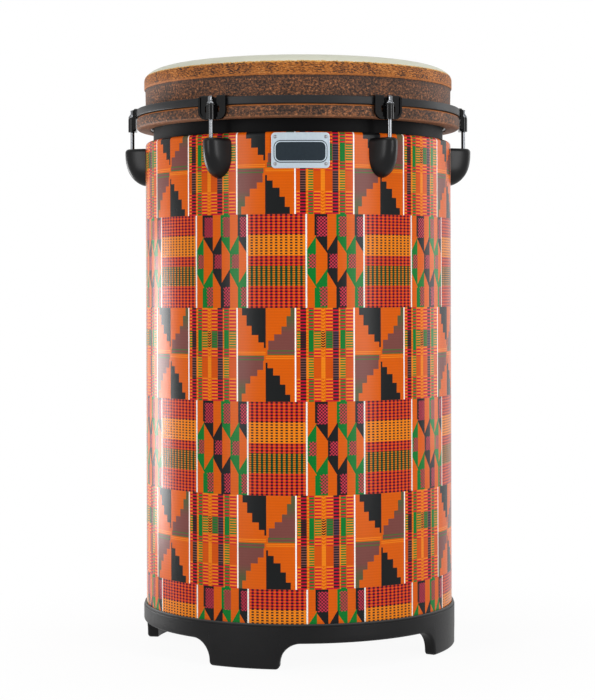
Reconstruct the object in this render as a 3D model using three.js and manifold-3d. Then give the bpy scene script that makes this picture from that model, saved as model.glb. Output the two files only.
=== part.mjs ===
// A tall floor drum: a printed tube shell on a four-footed ring, a film head with a formed collar,
// and six tuning stations. Millimetres, +Z up, the origin on the drum's axis at the floor.
// A station or foot angle is measured from the front, which is -Y, towards +X.

import * as THREE from 'three';
import { mergeVertices } from 'three/addons/utils/BufferGeometryUtils.js';
import Module from 'manifold-3d';

const wasm = await Module();
wasm.setup();
const { Manifold } = wasm;

// Clearances
const SEAT = 0.3; // between two pieces that touch on the real drum
const RUNNING = 0.5; // round a rod that turns
const CUT_MARGIN = 1; // of a cutter past the face it goes through

// Round steps
const ROUND_STEPS = 36;
const FINE_STEPS = 96;
const PIN_STEPS = 8;
const BORE_STEPS = 8;
const SCREW_STEPS = 6;
const ARC_STEPS = 3;
const ARCH_STEPS = 4;
const FILLET_STEPS = 4;
const FOOT_CORNER_STEPS = 2;
const FOOT_FLAT_STEPS = 3;
const OUTLINE_STEPS = 2; // half the steps of each arc in an extruded outline

// Shell and print
const SHELL_RADIUS = 169.4; // outside of the print
const SHELL_WALL = 7.3;
const SHELL_LENGTH = 519.3;
const PRINT_THICKNESS = 0.8;
const SHOULDER_RADIUS = 3.6;

// Neck ring with the bearing edge
const NECK_WALL = 8.4;
const NECK_DEPTH_IN_SHELL = 60;
const BEARING_EDGE_ROUND = 5;

// Foot ring
const FOOT_COUNT = 4;
const FIRST_FOOT_ANGLE = 69.0;
const FOOT_WIDTH = 79.6; // along the outside of the ring
const FOOT_HEIGHT = 26.6;
const FOOT_CORNER = 4.6;
const RING_THICKNESS = 3.0; // outside the shell
const RING_LEDGE = 7.0; // under the shell's end
const RING_GRIP = 13.0; // up the shell
const RING_LEDGE_REACH = 9.4; // from the shell's outside to the ring's bore
const RING_LIP_HEIGHT = 3.0;
const RING_LIP_STEP = 0.9;
const RING_EDGE_ROUND = 3.2;

// Bottom baffle and bass tube
const BAFFLE_THICKNESS = 9;
const BAFFLE_SETBACK = 10; // above the shell's lower end
const BASS_TUBE_RADIUS = 66;
const BASS_TUBE_WALL = 4;
const BASS_TUBE_LENGTH = 240;

// Drumhead
const HEAD_FILM = 1.2;
const HEAD_RISE = 45.4; // above the counterhoop
const HEAD_SHOULDER_WIDTH = 28;
const HEAD_SHOULDER_DROP = 14;
const HEAD_SHOULDER_POWER = 2;
const HEAD_SHOULDER_SHARES = [0, 0.35, 0.6, 0.8, 0.94, 1]; // of the width, where a ring of points stands
const HEAD_LINING_SHARES = [0, 0.35, 0.6, 0.8, 0.94, 1];
const COLLAR_OFFSET = 8.4; // from the neck to the collar's outside, behind the counterhoop
const COLLAR_FLARE = 0.6;
const CUFF_THICKNESS = 1.1; // the upper, doubled band of the collar
const CUFF_BOTTOM_DROP = 23.5; // below the top of the head

// Flesh hoop and the skirt wrapped round it
const HOOP_STANDOFF = 14.3; // from the shell's top to the skirt
const SKIRT_HEIGHT = 13.5;
const SKIRT_FILM = 1.0;
const SKIRT_ROUND = 3.0;
const SKIRT_INSET = 0.5; // inside the counterhoop's outer face
const SKIRT_HEM = 0.8; // from the flesh hoop's bore to the film's inner edge
const FLESH_HOOP_GAP = 1.5; // round the neck
const FLESH_HOOP_CHAMFER = 1.2;

// Counterhoop
const COUNTERHOOP_HEIGHT = 8.3;
const COUNTERHOOP_THICKNESS = 5.8;
const COUNTERHOOP_EASE = 0.6;

// Hoop clips
const STATION_COUNT = 6;
const FIRST_STATION_ANGLE = 30;
const CLIP_WIDTH = 33;
const CLIP_PLATE = 2.0;
const CLIP_RIM = 1.2; // stands proud of the plate
const CLIP_RIM_WIDTH = 2.3;
const CLIP_CORNER = 9.0;
const CLIP_DROP = 1.2; // below the skirt
const HOOK_THICKNESS = 1.6;
const HOOK_REACH = 5.0; // down behind the counterhoop
const HOOK_COLLAR_GAP = 1.3;
const HOOK_ROUND = 1.2;
const SLEEVE_WALL = 1.6;
const SLEEVE_DROP = 0.3; // of its upper end below the counterhoop's lower edge
const WINDOW_WIDTH = 3.0;
const WINDOW_HEIGHT = 7.0;
const WINDOW_OFFSET = 7.2; // from the middle of the clip
const WINDOW_DROP = 0.8; // below the counterhoop

// Tension rods and washers
const ROD_RADIUS = 2.5;
const ROD_POINT = 0.7;
const ROD_FLANGE_RADIUS = 4.5;
const ROD_FLANGE_HEIGHT = 0.9;
const ROD_FLARE_HEIGHT = 2.2;
const ROD_FLARE_WAIST = { width: 0.35, height: 0.45 }; // shares of the flare
const ROD_HEAD_HEIGHT = 8.6; // from the flange's seat to the top
const ROD_HEAD_WIDTH = 4.9;
const ROD_HEAD_CROWN = 1.0;
const ROD_CROWN_TOP = 0.6; // of the head's width
const ROD_PAST_NUT = 3.0;
const WASHER_THICKNESS = 0.8;
const NOTCH_ROOM = 0.7; // round the rod's flange

// Travel of the hoop in tuning, each way
const HOOP_TRAVEL = 3.0;
const TRAVEL_SPARE = 0.8;

// Tuning lugs and their nuts
const LUG_HEIGHT = 41;
const LUG_WIDTH = 30;
const LUG_FRONT_WALL = 5.0;
const LUG_SETBACK = 5.8; // below the shell's top
const LUG_TOP_ROUND = 3.6;
const LUG_WIDTH_POWERS = [4, 0.6];
const LUG_DEPTH_POWERS = [3, 0.62];
const LUG_FRONT_POWER = 2.5;
const LUG_TOP_SHARES = [0, 0.03, 0.09]; // of the height, from the top
const LUG_TIP_SHARE = 0.99;
const LUG_SECTIONS = 7;
const LUG_FRONT_STEPS = 8;
const LUG_BACK_STEPS = 2;
const NUT_WIDTH = 10;
const NUT_DEPTH = 7.6;
const NUT_HEIGHT = 6;
const NUT_FROM_TOP = 11.4;

// Lug screws
const SCREW_RADIUS = 2.0;
const SCREW_HEAD_RADIUS = 4.2;
const SCREW_HEAD_HEIGHT = 2.6;
const SCREW_HEAD_TOP = 0.7; // of the head's radius
const SCREW_BITE = 7.0;
const UPPER_SCREW_FROM_TOP = 4.6;
const LOWER_SCREW_FROM_TIP = 10.6;

// Badge and rivets
const BADGE_WIDTH = 60;
const BADGE_HEIGHT = 36.7;
const BADGE_THICKNESS = 1.0;
const BADGE_CORNER = 4.0;
const BADGE_SETBACK = 1.2; // below the shell's top
const RIVET_INSET = 4.4; // from the badge's edges
const RIVET_RADIUS = 1.0;
const RIVET_HEAD_RADIUS = 1.8;
const RIVET_HEAD_HEIGHT = 0.8;
const RIVET_SHOULDER = { radius: 0.7, height: 0.75 }; // shares of the head
const RIVET_BITE = 4.0;

// Heights worked out from the sizes above
const SHELL_BOTTOM = FOOT_HEIGHT + RING_LEDGE + SEAT;
const SHELL_TOP = SHELL_BOTTOM + SHELL_LENGTH;
const SKIRT_BOTTOM = SHELL_TOP + HOOP_STANDOFF;
const SKIRT_TOP = SKIRT_BOTTOM + SKIRT_HEIGHT;
const COUNTERHOOP_BOTTOM = SKIRT_TOP + SEAT;
const COUNTERHOOP_TOP = COUNTERHOOP_BOTTOM + COUNTERHOOP_HEIGHT;
const HEAD_TOP = COUNTERHOOP_TOP + HEAD_RISE;
const CUFF_BOTTOM = HEAD_TOP - CUFF_BOTTOM_DROP;
const COLLAR_BOTTOM = SKIRT_TOP + HOOP_TRAVEL + SEAT;
const CLIP_TOP = COUNTERHOOP_TOP + SEAT + HOOK_THICKNESS;
const CLIP_BOTTOM = SKIRT_BOTTOM - CLIP_DROP;
const SLEEVE_TOP = COUNTERHOOP_BOTTOM - SLEEVE_DROP;
const WASHER_BOTTOM = SLEEVE_TOP + SEAT;
const ROD_SEAT = WASHER_BOTTOM + WASHER_THICKNESS + SEAT;
const LUG_TOP = SHELL_TOP - LUG_SETBACK;
const LUG_TIP = LUG_TOP - LUG_HEIGHT;
const NUT_TOP = LUG_TOP - NUT_FROM_TOP;
const NUT_BOTTOM = NUT_TOP - NUT_HEIGHT;
const ROD_TIP = NUT_BOTTOM - ROD_PAST_NUT;
const LUG_BORE_BOTTOM = ROD_TIP - HOOP_TRAVEL - TRAVEL_SPARE;
const SCREW_HEIGHTS = { upper: LUG_TOP - UPPER_SCREW_FROM_TOP, lower: LUG_TIP + LOWER_SCREW_FROM_TIP };
const BADGE_TOP = SHELL_TOP - BADGE_SETBACK;
const BADGE_MIDDLE = BADGE_TOP - BADGE_HEIGHT / 2;

// Radii worked out from the sizes above
const TUBE_RADIUS = SHELL_RADIUS - PRINT_THICKNESS - SEAT;
const TUBE_BORE = TUBE_RADIUS - SHELL_WALL;
const NECK_RADIUS = TUBE_BORE - SEAT;
const NECK_BORE = NECK_RADIUS - NECK_WALL;
const COLLAR_RADIUS = NECK_RADIUS + COLLAR_OFFSET;
const CUFF_RADIUS = COLLAR_RADIUS + COLLAR_FLARE + CUFF_THICKNESS;
const HOOK_INNER = COLLAR_RADIUS + HOOK_COLLAR_GAP;
const HOOK_OUTER = HOOK_INNER + HOOK_THICKNESS;
const FACET_SHARE = Math.cos(Math.PI / ROUND_STEPS); // of the radius, at the middle of a facet
const SCREW_HOLE = (SCREW_RADIUS + SEAT) / Math.cos(Math.PI / SCREW_STEPS);
const RIVET_HOLE = (RIVET_RADIUS + SEAT) / Math.cos(Math.PI / SCREW_STEPS);
const COUNTERHOOP_BORE = Math.hypot(HOOK_OUTER + SEAT, CLIP_WIDTH / 2) / FACET_SHARE;
const COUNTERHOOP_RADIUS = COUNTERHOOP_BORE + COUNTERHOOP_THICKNESS;
const SKIRT_RADIUS = COUNTERHOOP_RADIUS - SKIRT_INSET;
const FLESH_HOOP_RADIUS = SKIRT_RADIUS - SKIRT_FILM - SEAT;
const FLESH_HOOP_BORE = NECK_RADIUS + FLESH_HOOP_GAP;
const ROD_CIRCLE = COUNTERHOOP_RADIUS + SEAT + ROD_FLANGE_RADIUS;
const CLIP_BACK = COUNTERHOOP_RADIUS + SEAT;
const CLIP_FRONT = CLIP_BACK + CLIP_PLATE;
const ROD_BORE = ROD_RADIUS + RUNNING;
const LUG_BACK = SHELL_RADIUS + SEAT;
const LUG_DEPTH = ROD_CIRCLE + ROD_BORE + LUG_FRONT_WALL - LUG_BACK;
const BADGE_BACK = SHELL_RADIUS + SEAT;
const BADGE_FRONT = BADGE_BACK + BADGE_THICKNESS;

const QUARTER = Math.PI / 2;
const stationAngle = (i) => THREE.MathUtils.degToRad(FIRST_STATION_ANGLE + (i * 360) / STATION_COUNT);

// Points of an arc in a profile plane, both ends included. Angles are in radians.
function arc(centre, radius, from, to, steps = ARC_STEPS) {
  return Array.from({ length: steps + 1 }, (_, i) => {
    const turn = from + ((to - from) * i) / steps;
    return [centre[0] + radius * Math.cos(turn), centre[1] + radius * Math.sin(turn)];
  });
}

// Turns a closed surface the right way out, by the sign of its volume.
function facingOut(geometry) {
  const place = geometry.attributes.position;
  const index = geometry.index.array;
  const [a, b, c] = [new THREE.Vector3(), new THREE.Vector3(), new THREE.Vector3()];
  let volume = 0;
  for (let i = 0; i < index.length; i += 3) {
    a.fromBufferAttribute(place, index[i]);
    b.fromBufferAttribute(place, index[i + 1]);
    c.fromBufferAttribute(place, index[i + 2]);
    volume += a.dot(b.cross(c));
  }
  if (volume < 0) {
    for (let i = 0; i < index.length; i += 3) {
      [index[i + 1], index[i + 2]] = [index[i + 2], index[i + 1]];
    }
  }
  return geometry;
}

// Shares the vertices of a geometry and drops triangles that a pole or a seam leaves with no area.
function weld(geometry) {
  geometry.deleteAttribute('normal');
  geometry.deleteAttribute('uv');
  const merged = mergeVertices(geometry);
  const index = merged.index.array;
  const kept = [];
  for (let i = 0; i < index.length; i += 3) {
    const [p, q, r] = [index[i], index[i + 1], index[i + 2]];
    if (p !== q && q !== r && r !== p) kept.push(p, q, r);
  }
  merged.setIndex(kept);
  return facingOut(merged);
}

const solid = (geometry) => {
  const welded = weld(geometry.clone());
  const vertProperties = Float32Array.from(welded.attributes.position.array);
  const triVerts = Uint32Array.from(welded.index.array);
  return new Manifold(new wasm.Mesh({ numProp: 3, vertProperties, triVerts }));
};

function geometryOf(body) {
  const mesh = body.getMesh();
  const geometry = new THREE.BufferGeometry();
  geometry.setAttribute('position', new THREE.BufferAttribute(mesh.vertProperties, 3));
  geometry.setIndex(new THREE.BufferAttribute(mesh.triVerts, 1));
  return geometry;
}

const cut = (geometry, tools) =>
  geometryOf(tools.reduce((body, tool) => body.subtract(solid(tool)), solid(geometry)));

// Revolves a profile of [radius, height] round the drum's axis, vertex 0 at the front.
function revolve(profile, steps = ROUND_STEPS) {
  const points = profile.map(([radius, height]) => new THREE.Vector2(Math.max(radius, 0), height));
  const onAxis = points[0].x === 0 && points.at(-1).x === 0;
  if (!onAxis) points.push(points[0].clone());
  return weld(new THREE.LatheGeometry(points, steps).rotateX(QUARTER));
}

// Revolves a profile of [radius, distance from the drum's axis] round a line that points to the front.
const revolveRadially = (profile, steps) =>
  weld(new THREE.LatheGeometry(profile.map((point) => new THREE.Vector2(...point)), steps).rotateX(Math.PI));

// A round pin that points to the front, between two distances from the drum's axis.
const radialPin = (radius, from, to, steps = SCREW_STEPS) =>
  new THREE.CylinderGeometry(radius, radius, to - from, steps).translate(0, -(from + to) / 2, 0);

const uprightPin = (radius, bottom, top, steps = BORE_STEPS) =>
  new THREE.CylinderGeometry(radius, radius, top - bottom, steps)
    .rotateX(QUARTER)
    .translate(0, 0, (bottom + top) / 2);

// A block between two corners, given as [x, distance in front of the drum's axis, z].
function block(low, high) {
  const size = high.map((value, i) => value - low[i]);
  const middle = high.map((value, i) => (value + low[i]) / 2);
  return new THREE.BoxGeometry(...size).translate(middle[0], -middle[1], middle[2]);
}

// Extrudes an outline drawn in x and z towards the front, from a distance to the drum's axis.
const extrudeForward = (shape, from, depth) =>
  new THREE.ExtrudeGeometry(shape, { depth, bevelEnabled: false, curveSegments: OUTLINE_STEPS })
    .rotateX(QUARTER)
    .translate(0, -from, 0);

// Joins closed loops of points into one skin. An open skin gets a fan from a middle point at each end.
function loft(loops, closed) {
  const size = loops[0].length;
  const places = loops.flat();
  const index = [];
  const last = closed ? loops.length : loops.length - 1;
  for (let i = 0; i < last; i += 1) {
    const near = i * size;
    const far = ((i + 1) % loops.length) * size;
    for (let j = 0; j < size; j += 1) {
      const next = (j + 1) % size;
      index.push(near + j, near + next, far + next, near + j, far + next, far + j);
    }
  }
  if (!closed) {
    const ends = [{ at: 0, flip: true }, { at: loops.length - 1, flip: false }];
    for (const { at, flip } of ends) {
      const middle = new THREE.Vector3();
      loops[at].forEach((point) => middle.addScaledVector(point, 1 / size));
      places.push(middle);
      for (let j = 0; j < size; j += 1) {
        const edge = [at * size + j, at * size + ((j + 1) % size)];
        index.push(places.length - 1, ...(flip ? edge.reverse() : edge));
      }
    }
  }
  const geometry = new THREE.BufferGeometry().setFromPoints(places);
  geometry.setIndex(index);
  return weld(geometry);
}

// Holes that the lug screws and the badge rivets take through the walls.
function wallHoles(inner) {
  const holes = [];
  for (let i = 0; i < STATION_COUNT; i += 1) {
    for (const height of Object.values(SCREW_HEIGHTS)) {
      const hole = radialPin(SCREW_HOLE, inner, BADGE_FRONT);
      holes.push(hole.translate(0, 0, height).rotateZ(stationAngle(i)));
    }
  }
  return holes;
}

function rivetPlaces() {
  const across = BADGE_WIDTH / 2 - RIVET_INSET;
  const up = BADGE_HEIGHT / 2 - RIVET_INSET;
  return [[-1, 1], [1, 1], [1, -1], [-1, -1]].map(([side, level]) => ({
    angle: Math.asin((side * across) / BADGE_BACK),
    height: BADGE_MIDDLE + level * up,
  }));
}

const rivetHoles = (to) =>
  rivetPlaces().map(({ angle, height }) =>
    radialPin(RIVET_HOLE, SHELL_RADIUS - RIVET_BITE - SEAT, to)
      .translate(0, 0, height)
      .rotateZ(angle));

// The tube has a rounded shoulder at its upper end, and the print wraps over it.
function shoulderArc(inset, reverse) {
  const centre = [SHELL_RADIUS - SHOULDER_RADIUS, SHELL_TOP - SHOULDER_RADIUS];
  const points = arc(centre, SHOULDER_RADIUS - inset, 0, QUARTER);
  return reverse ? points.reverse() : points;
}

function shellTube() {
  const tube = revolve([
    [TUBE_BORE, SHELL_BOTTOM],
    [TUBE_RADIUS, SHELL_BOTTOM],
    ...shoulderArc(PRINT_THICKNESS + SEAT),
    [TUBE_BORE, SHELL_TOP - PRINT_THICKNESS - SEAT],
  ]);
  return cut(tube, [...wallHoles(NECK_BORE), ...rivetHoles(BADGE_FRONT)]);
}

function printWrap() {
  const wrap = revolve([
    [SHELL_RADIUS - PRINT_THICKNESS, SHELL_BOTTOM],
    [SHELL_RADIUS, SHELL_BOTTOM],
    ...shoulderArc(0),
    [TUBE_BORE, SHELL_TOP],
    [TUBE_BORE, SHELL_TOP - PRINT_THICKNESS],
    ...shoulderArc(PRINT_THICKNESS, true),
  ]);
  return cut(wrap, [...wallHoles(NECK_BORE), ...rivetHoles(BADGE_FRONT)]);
}

// Height of the film's outer face over the head, at a radius inside the collar.
function headHeight(radius, inset = 0) {
  const flat = CUFF_RADIUS - HEAD_SHOULDER_WIDTH;
  const share = Math.max(0, (radius - flat) / (HEAD_SHOULDER_WIDTH - inset));
  const rise = Math.max(0, 1 - share ** HEAD_SHOULDER_POWER) ** (1 / HEAD_SHOULDER_POWER);
  return HEAD_TOP - HEAD_SHOULDER_DROP + (HEAD_SHOULDER_DROP - inset) * rise;
}

function headShoulder(shares, inset) {
  const flat = CUFF_RADIUS - HEAD_SHOULDER_WIDTH;
  return shares.map((share) => {
    const radius = flat + share * (HEAD_SHOULDER_WIDTH - inset);
    return [radius, headHeight(radius, inset)];
  });
}

function drumhead() {
  return revolve([
    [0, HEAD_TOP],
    ...headShoulder(HEAD_SHOULDER_SHARES, 0),
    [CUFF_RADIUS, CUFF_BOTTOM],
    [COLLAR_RADIUS + COLLAR_FLARE, CUFF_BOTTOM - CUFF_THICKNESS / 2],
    [COLLAR_RADIUS, COLLAR_BOTTOM],
    [COLLAR_RADIUS - HEAD_FILM, COLLAR_BOTTOM],
    ...headShoulder(HEAD_LINING_SHARES, HEAD_FILM).reverse(),
    [0, HEAD_TOP - HEAD_FILM],
  ]);
}

function neckRing() {
  const crest = NECK_RADIUS - BEARING_EDGE_ROUND;
  const top = headHeight(crest) - HEAD_FILM - SEAT;
  const ring = revolve([
    [NECK_BORE, SHELL_TOP - NECK_DEPTH_IN_SHELL],
    [NECK_RADIUS, SHELL_TOP - NECK_DEPTH_IN_SHELL],
    ...arc([crest, top - BEARING_EDGE_ROUND], BEARING_EDGE_ROUND, 0, QUARTER),
    [NECK_BORE, top],
  ]);
  return cut(ring, wallHoles(NECK_BORE - SCREW_HEAD_RADIUS));
}

function fleshHoop() {
  const bottom = SKIRT_BOTTOM + SKIRT_FILM + SEAT;
  const top = SKIRT_TOP - SKIRT_FILM - SEAT;
  const round = SKIRT_ROUND - SKIRT_FILM;
  return revolve([
    [FLESH_HOOP_BORE + FLESH_HOOP_CHAMFER, bottom],
    ...arc([FLESH_HOOP_RADIUS - round, bottom + round], round, -QUARTER, 0, 1),
    ...arc([FLESH_HOOP_RADIUS - round, top - round], round, 0, QUARTER, 1),
    [FLESH_HOOP_BORE, top],
    [FLESH_HOOP_BORE, bottom + FLESH_HOOP_CHAMFER],
  ]);
}

// The lower end of the film, wrapped round the flesh hoop: down its outside and in under it.
function headSkirt() {
  const hem = FLESH_HOOP_BORE + FLESH_HOOP_CHAMFER + SKIRT_HEM;
  const inside = SKIRT_RADIUS - SKIRT_FILM;
  const round = SKIRT_ROUND;
  const innerRound = SKIRT_ROUND - SKIRT_FILM;
  return revolve([
    [hem, SKIRT_BOTTOM],
    ...arc([SKIRT_RADIUS - round, SKIRT_BOTTOM + round], round, -QUARTER, 0, 2),
    ...arc([SKIRT_RADIUS - round, SKIRT_TOP - round], round, 0, QUARTER, 2),
    [hem, SKIRT_TOP],
    [hem, SKIRT_TOP - SKIRT_FILM],
    ...arc([inside - innerRound, SKIRT_TOP - SKIRT_FILM - innerRound], innerRound, QUARTER, 0, 1),
    ...arc([inside - innerRound, SKIRT_BOTTOM + SKIRT_FILM + innerRound], innerRound, 0, -QUARTER, 1),
    [hem, SKIRT_BOTTOM + SKIRT_FILM],
  ]);
}

function counterhoop() {
  const ease = COUNTERHOOP_EASE;
  return revolve([
    [COUNTERHOOP_BORE, COUNTERHOOP_BOTTOM],
    [COUNTERHOOP_RADIUS - ease, COUNTERHOOP_BOTTOM],
    [COUNTERHOOP_RADIUS, COUNTERHOOP_BOTTOM + ease],
    [COUNTERHOOP_RADIUS, COUNTERHOOP_TOP - ease],
    [COUNTERHOOP_RADIUS - ease, COUNTERHOOP_TOP],
    [COUNTERHOOP_BORE, COUNTERHOOP_TOP],
  ]);
}

// One quarter of the ring's lower edge, from a foot's middle to the next gap's middle and on to the
// next foot: arc length along the outside of the ring, and the height of the edge there.
function footEdge() {
  const radius = SHELL_RADIUS + RING_THICKNESS;
  const pitch = (2 * Math.PI * radius) / FOOT_COUNT;
  const half = FOOT_WIDTH / 2;
  const fillet = FOOT_HEIGHT - FOOT_CORNER;
  const corner = arc([half - FOOT_CORNER, FOOT_CORNER], FOOT_CORNER, -QUARTER, 0, FOOT_CORNER_STEPS);
  const web = arc([half + fillet, FOOT_CORNER], fillet, Math.PI, QUARTER, FILLET_STEPS).slice(1);
  const span = pitch / 2 - half - fillet;
  const arch = Array.from({ length: ARCH_STEPS }, (_, i) =>
    [half + fillet + (span * (i + 1)) / ARCH_STEPS, FOOT_HEIGHT]);
  const flat = Array.from({ length: FOOT_FLAT_STEPS }, (_, i) =>
    [((half - FOOT_CORNER) * i) / FOOT_FLAT_STEPS, 0]);
  const rise = [...flat, ...corner, ...web, ...arch];
  const fall = rise.slice(1, -1).reverse().map(([along, height]) => [pitch - along, height]);
  return [...rise, ...fall].map(([along, height]) => ({ turn: along / radius, height }));
}

function footRing() {
  const bore = SHELL_RADIUS - RING_LEDGE_REACH;
  const seat = (SHELL_RADIUS + SEAT) / FACET_SHARE;
  const outside = SHELL_RADIUS + RING_THICKNESS;
  const lip = outside - RING_LIP_STEP;
  const ledge = FOOT_HEIGHT + RING_LEDGE;
  const top = SHELL_BOTTOM + RING_GRIP;
  const section = (underside) => [
    [bore, underside],
    [outside - RING_EDGE_ROUND, underside],
    [outside, underside + RING_EDGE_ROUND],
    [outside, top - RING_LIP_HEIGHT - RING_LIP_STEP / 2],
    [lip, top - RING_LIP_HEIGHT],
    [lip, top - RING_LIP_STEP / 2],
    [lip - RING_LIP_STEP / 2, top],
    [seat, top],
    [seat, ledge],
    [bore, ledge],
  ];
  const loops = [];
  for (let foot = 0; foot < FOOT_COUNT; foot += 1) {
    const start = THREE.MathUtils.degToRad(FIRST_FOOT_ANGLE + (foot * 360) / FOOT_COUNT);
    for (const { turn, height } of footEdge()) {
      const angle = start + turn;
      loops.push(section(height).map(([radius, z]) =>
        new THREE.Vector3(radius * Math.sin(angle), -radius * Math.cos(angle), z)));
    }
  }
  return loft(loops, true);
}

function bottomBaffle() {
  const bottom = SHELL_BOTTOM + BAFFLE_SETBACK;
  return revolve([
    [BASS_TUBE_RADIUS + SEAT, bottom],
    [TUBE_BORE - SEAT, bottom],
    [TUBE_BORE - SEAT, bottom + BAFFLE_THICKNESS],
    [BASS_TUBE_RADIUS + SEAT, bottom + BAFFLE_THICKNESS],
  ]);
}

function bassTube() {
  const bottom = SHELL_BOTTOM + BAFFLE_SETBACK;
  return revolve([
    [BASS_TUBE_RADIUS - BASS_TUBE_WALL, bottom],
    [BASS_TUBE_RADIUS, bottom],
    [BASS_TUBE_RADIUS, bottom + BASS_TUBE_LENGTH],
    [BASS_TUBE_RADIUS - BASS_TUBE_WALL, bottom + BASS_TUBE_LENGTH],
  ]);
}

// Shield outline of a hoop clip, up to the hook that goes over the counterhoop.
function clipOutline(inset, OutlineType = THREE.Shape) {
  const half = CLIP_WIDTH / 2 - inset;
  const corner = CLIP_CORNER - inset;
  const bottom = CLIP_BOTTOM + inset;
  const top = CLIP_TOP - HOOK_THICKNESS - inset;
  const outline = new OutlineType();
  outline.moveTo(-half, top);
  outline.lineTo(-half, bottom + corner);
  outline.absarc(corner - half, bottom + corner, corner, Math.PI, 3 * QUARTER, false);
  outline.absarc(half - corner, bottom + corner, corner, 3 * QUARTER, 4 * QUARTER, false);
  outline.lineTo(half, top);
  outline.closePath();
  return outline;
}

function windowOutline(side) {
  const radius = WINDOW_WIDTH / 2;
  const top = COUNTERHOOP_BOTTOM - WINDOW_DROP - radius;
  const bottom = top - WINDOW_HEIGHT + WINDOW_WIDTH;
  const outline = new THREE.Path();
  outline.absarc(side * WINDOW_OFFSET, top, radius, 0, Math.PI, false);
  outline.absarc(side * WINDOW_OFFSET, bottom, radius, Math.PI, 4 * QUARTER, false);
  outline.closePath();
  return outline;
}

// Section of the hook, drawn in distance from the drum's axis and height.
function clipHook() {
  const under = COUNTERHOOP_TOP + SEAT;
  const root = under - HOOK_ROUND;
  const shape = new THREE.Shape();
  shape.moveTo(CLIP_FRONT, root);
  shape.lineTo(CLIP_FRONT, CLIP_TOP - HOOK_ROUND);
  shape.absarc(CLIP_FRONT - HOOK_ROUND, CLIP_TOP - HOOK_ROUND, HOOK_ROUND, 0, QUARTER, false);
  shape.absarc(HOOK_INNER + HOOK_ROUND, CLIP_TOP - HOOK_ROUND, HOOK_ROUND, QUARTER, Math.PI, false);
  shape.lineTo(HOOK_INNER, under - HOOK_REACH);
  shape.lineTo(HOOK_OUTER, under - HOOK_REACH);
  shape.lineTo(HOOK_OUTER, under);
  shape.lineTo(CLIP_BACK, under);
  shape.lineTo(CLIP_BACK, root);
  shape.closePath();
  const alongClip = new THREE.Matrix4().makeBasis(
    new THREE.Vector3(0, -1, 0),
    new THREE.Vector3(0, 0, 1),
    new THREE.Vector3(-1, 0, 0),
  );
  return new THREE.ExtrudeGeometry(shape, { depth: CLIP_WIDTH, bevelEnabled: false, curveSegments: 1 })
    .applyMatrix4(alongClip)
    .translate(CLIP_WIDTH / 2, 0, 0);
}

function hoopClip() {
  const plate = clipOutline(0);
  plate.holes.push(windowOutline(-1), windowOutline(1));
  const rim = clipOutline(0);
  rim.holes.push(clipOutline(CLIP_RIM_WIDTH, THREE.Path));
  const notch = ROD_FLANGE_RADIUS + NOTCH_ROOM;
  const sleeve = uprightPin(ROD_BORE + SLEEVE_WALL, CLIP_BOTTOM, SLEEVE_TOP).translate(0, -ROD_CIRCLE, 0);
  const behind = block(
    [-CLIP_WIDTH, HOOK_INNER, CLIP_BOTTOM - CUT_MARGIN],
    [CLIP_WIDTH, CLIP_BACK, CLIP_TOP + CUT_MARGIN],
  );
  const keyRoom = block(
    [-notch, HOOK_INNER - CUT_MARGIN, SLEEVE_TOP],
    [notch, ROD_CIRCLE + notch, CLIP_TOP + CUT_MARGIN],
  );
  const bore = uprightPin(ROD_BORE, CLIP_BOTTOM - CUT_MARGIN, SLEEVE_TOP + CUT_MARGIN);
  const body = solid(extrudeForward(plate, CLIP_BACK, CLIP_PLATE))
    .add(solid(extrudeForward(rim, CLIP_FRONT - SEAT, CLIP_RIM + SEAT)))
    .add(solid(sleeve).subtract(solid(behind)))
    .add(solid(clipHook()))
    .subtract(solid(keyRoom))
    .subtract(solid(bore.translate(0, -ROD_CIRCLE, 0)));
  return geometryOf(body);
}

// A rod with a flared flange under its square key head.
function tensionRod() {
  const flange = ROD_SEAT + ROD_FLANGE_HEIGHT;
  const flare = flange + ROD_FLARE_HEIGHT;
  const top = ROD_SEAT + ROD_HEAD_HEIGHT;
  const neck = ROD_HEAD_WIDTH / 2;
  const waist = neck + (ROD_FLANGE_RADIUS - neck) * ROD_FLARE_WAIST.width;
  const shank = revolve([
    [0, ROD_TIP],
    [ROD_RADIUS - ROD_POINT, ROD_TIP],
    [ROD_RADIUS, ROD_TIP + ROD_POINT],
    [ROD_RADIUS, ROD_SEAT],
    [ROD_FLANGE_RADIUS, ROD_SEAT],
    [ROD_FLANGE_RADIUS, flange],
    [waist, flange + ROD_FLARE_HEIGHT * ROD_FLARE_WAIST.height],
    [neck, flare],
    [0, flare],
  ], PIN_STEPS);
  const shoulder = top - ROD_HEAD_CROWN;
  const head = new THREE.BoxGeometry(ROD_HEAD_WIDTH, ROD_HEAD_WIDTH, shoulder - flange)
    .translate(0, 0, (shoulder + flange) / 2);
  const acrossCorners = ROD_HEAD_WIDTH * Math.SQRT1_2;
  const crown = new THREE.CylinderGeometry(acrossCorners * ROD_CROWN_TOP, acrossCorners, ROD_HEAD_CROWN, 4)
    .rotateY(QUARTER / 2)
    .rotateX(QUARTER)
    .translate(0, 0, top - ROD_HEAD_CROWN / 2);
  return geometryOf(solid(shank).add(solid(head)).add(solid(crown))).translate(0, -ROD_CIRCLE, 0);
}

const rodWasher = () =>
  revolve([
    [ROD_BORE, WASHER_BOTTOM],
    [ROD_FLANGE_RADIUS, WASHER_BOTTOM],
    [ROD_FLANGE_RADIUS, WASHER_BOTTOM + WASHER_THICKNESS],
    [ROD_BORE, WASHER_BOTTOM + WASHER_THICKNESS],
  ], PIN_STEPS).translate(0, -ROD_CIRCLE, 0);

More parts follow.
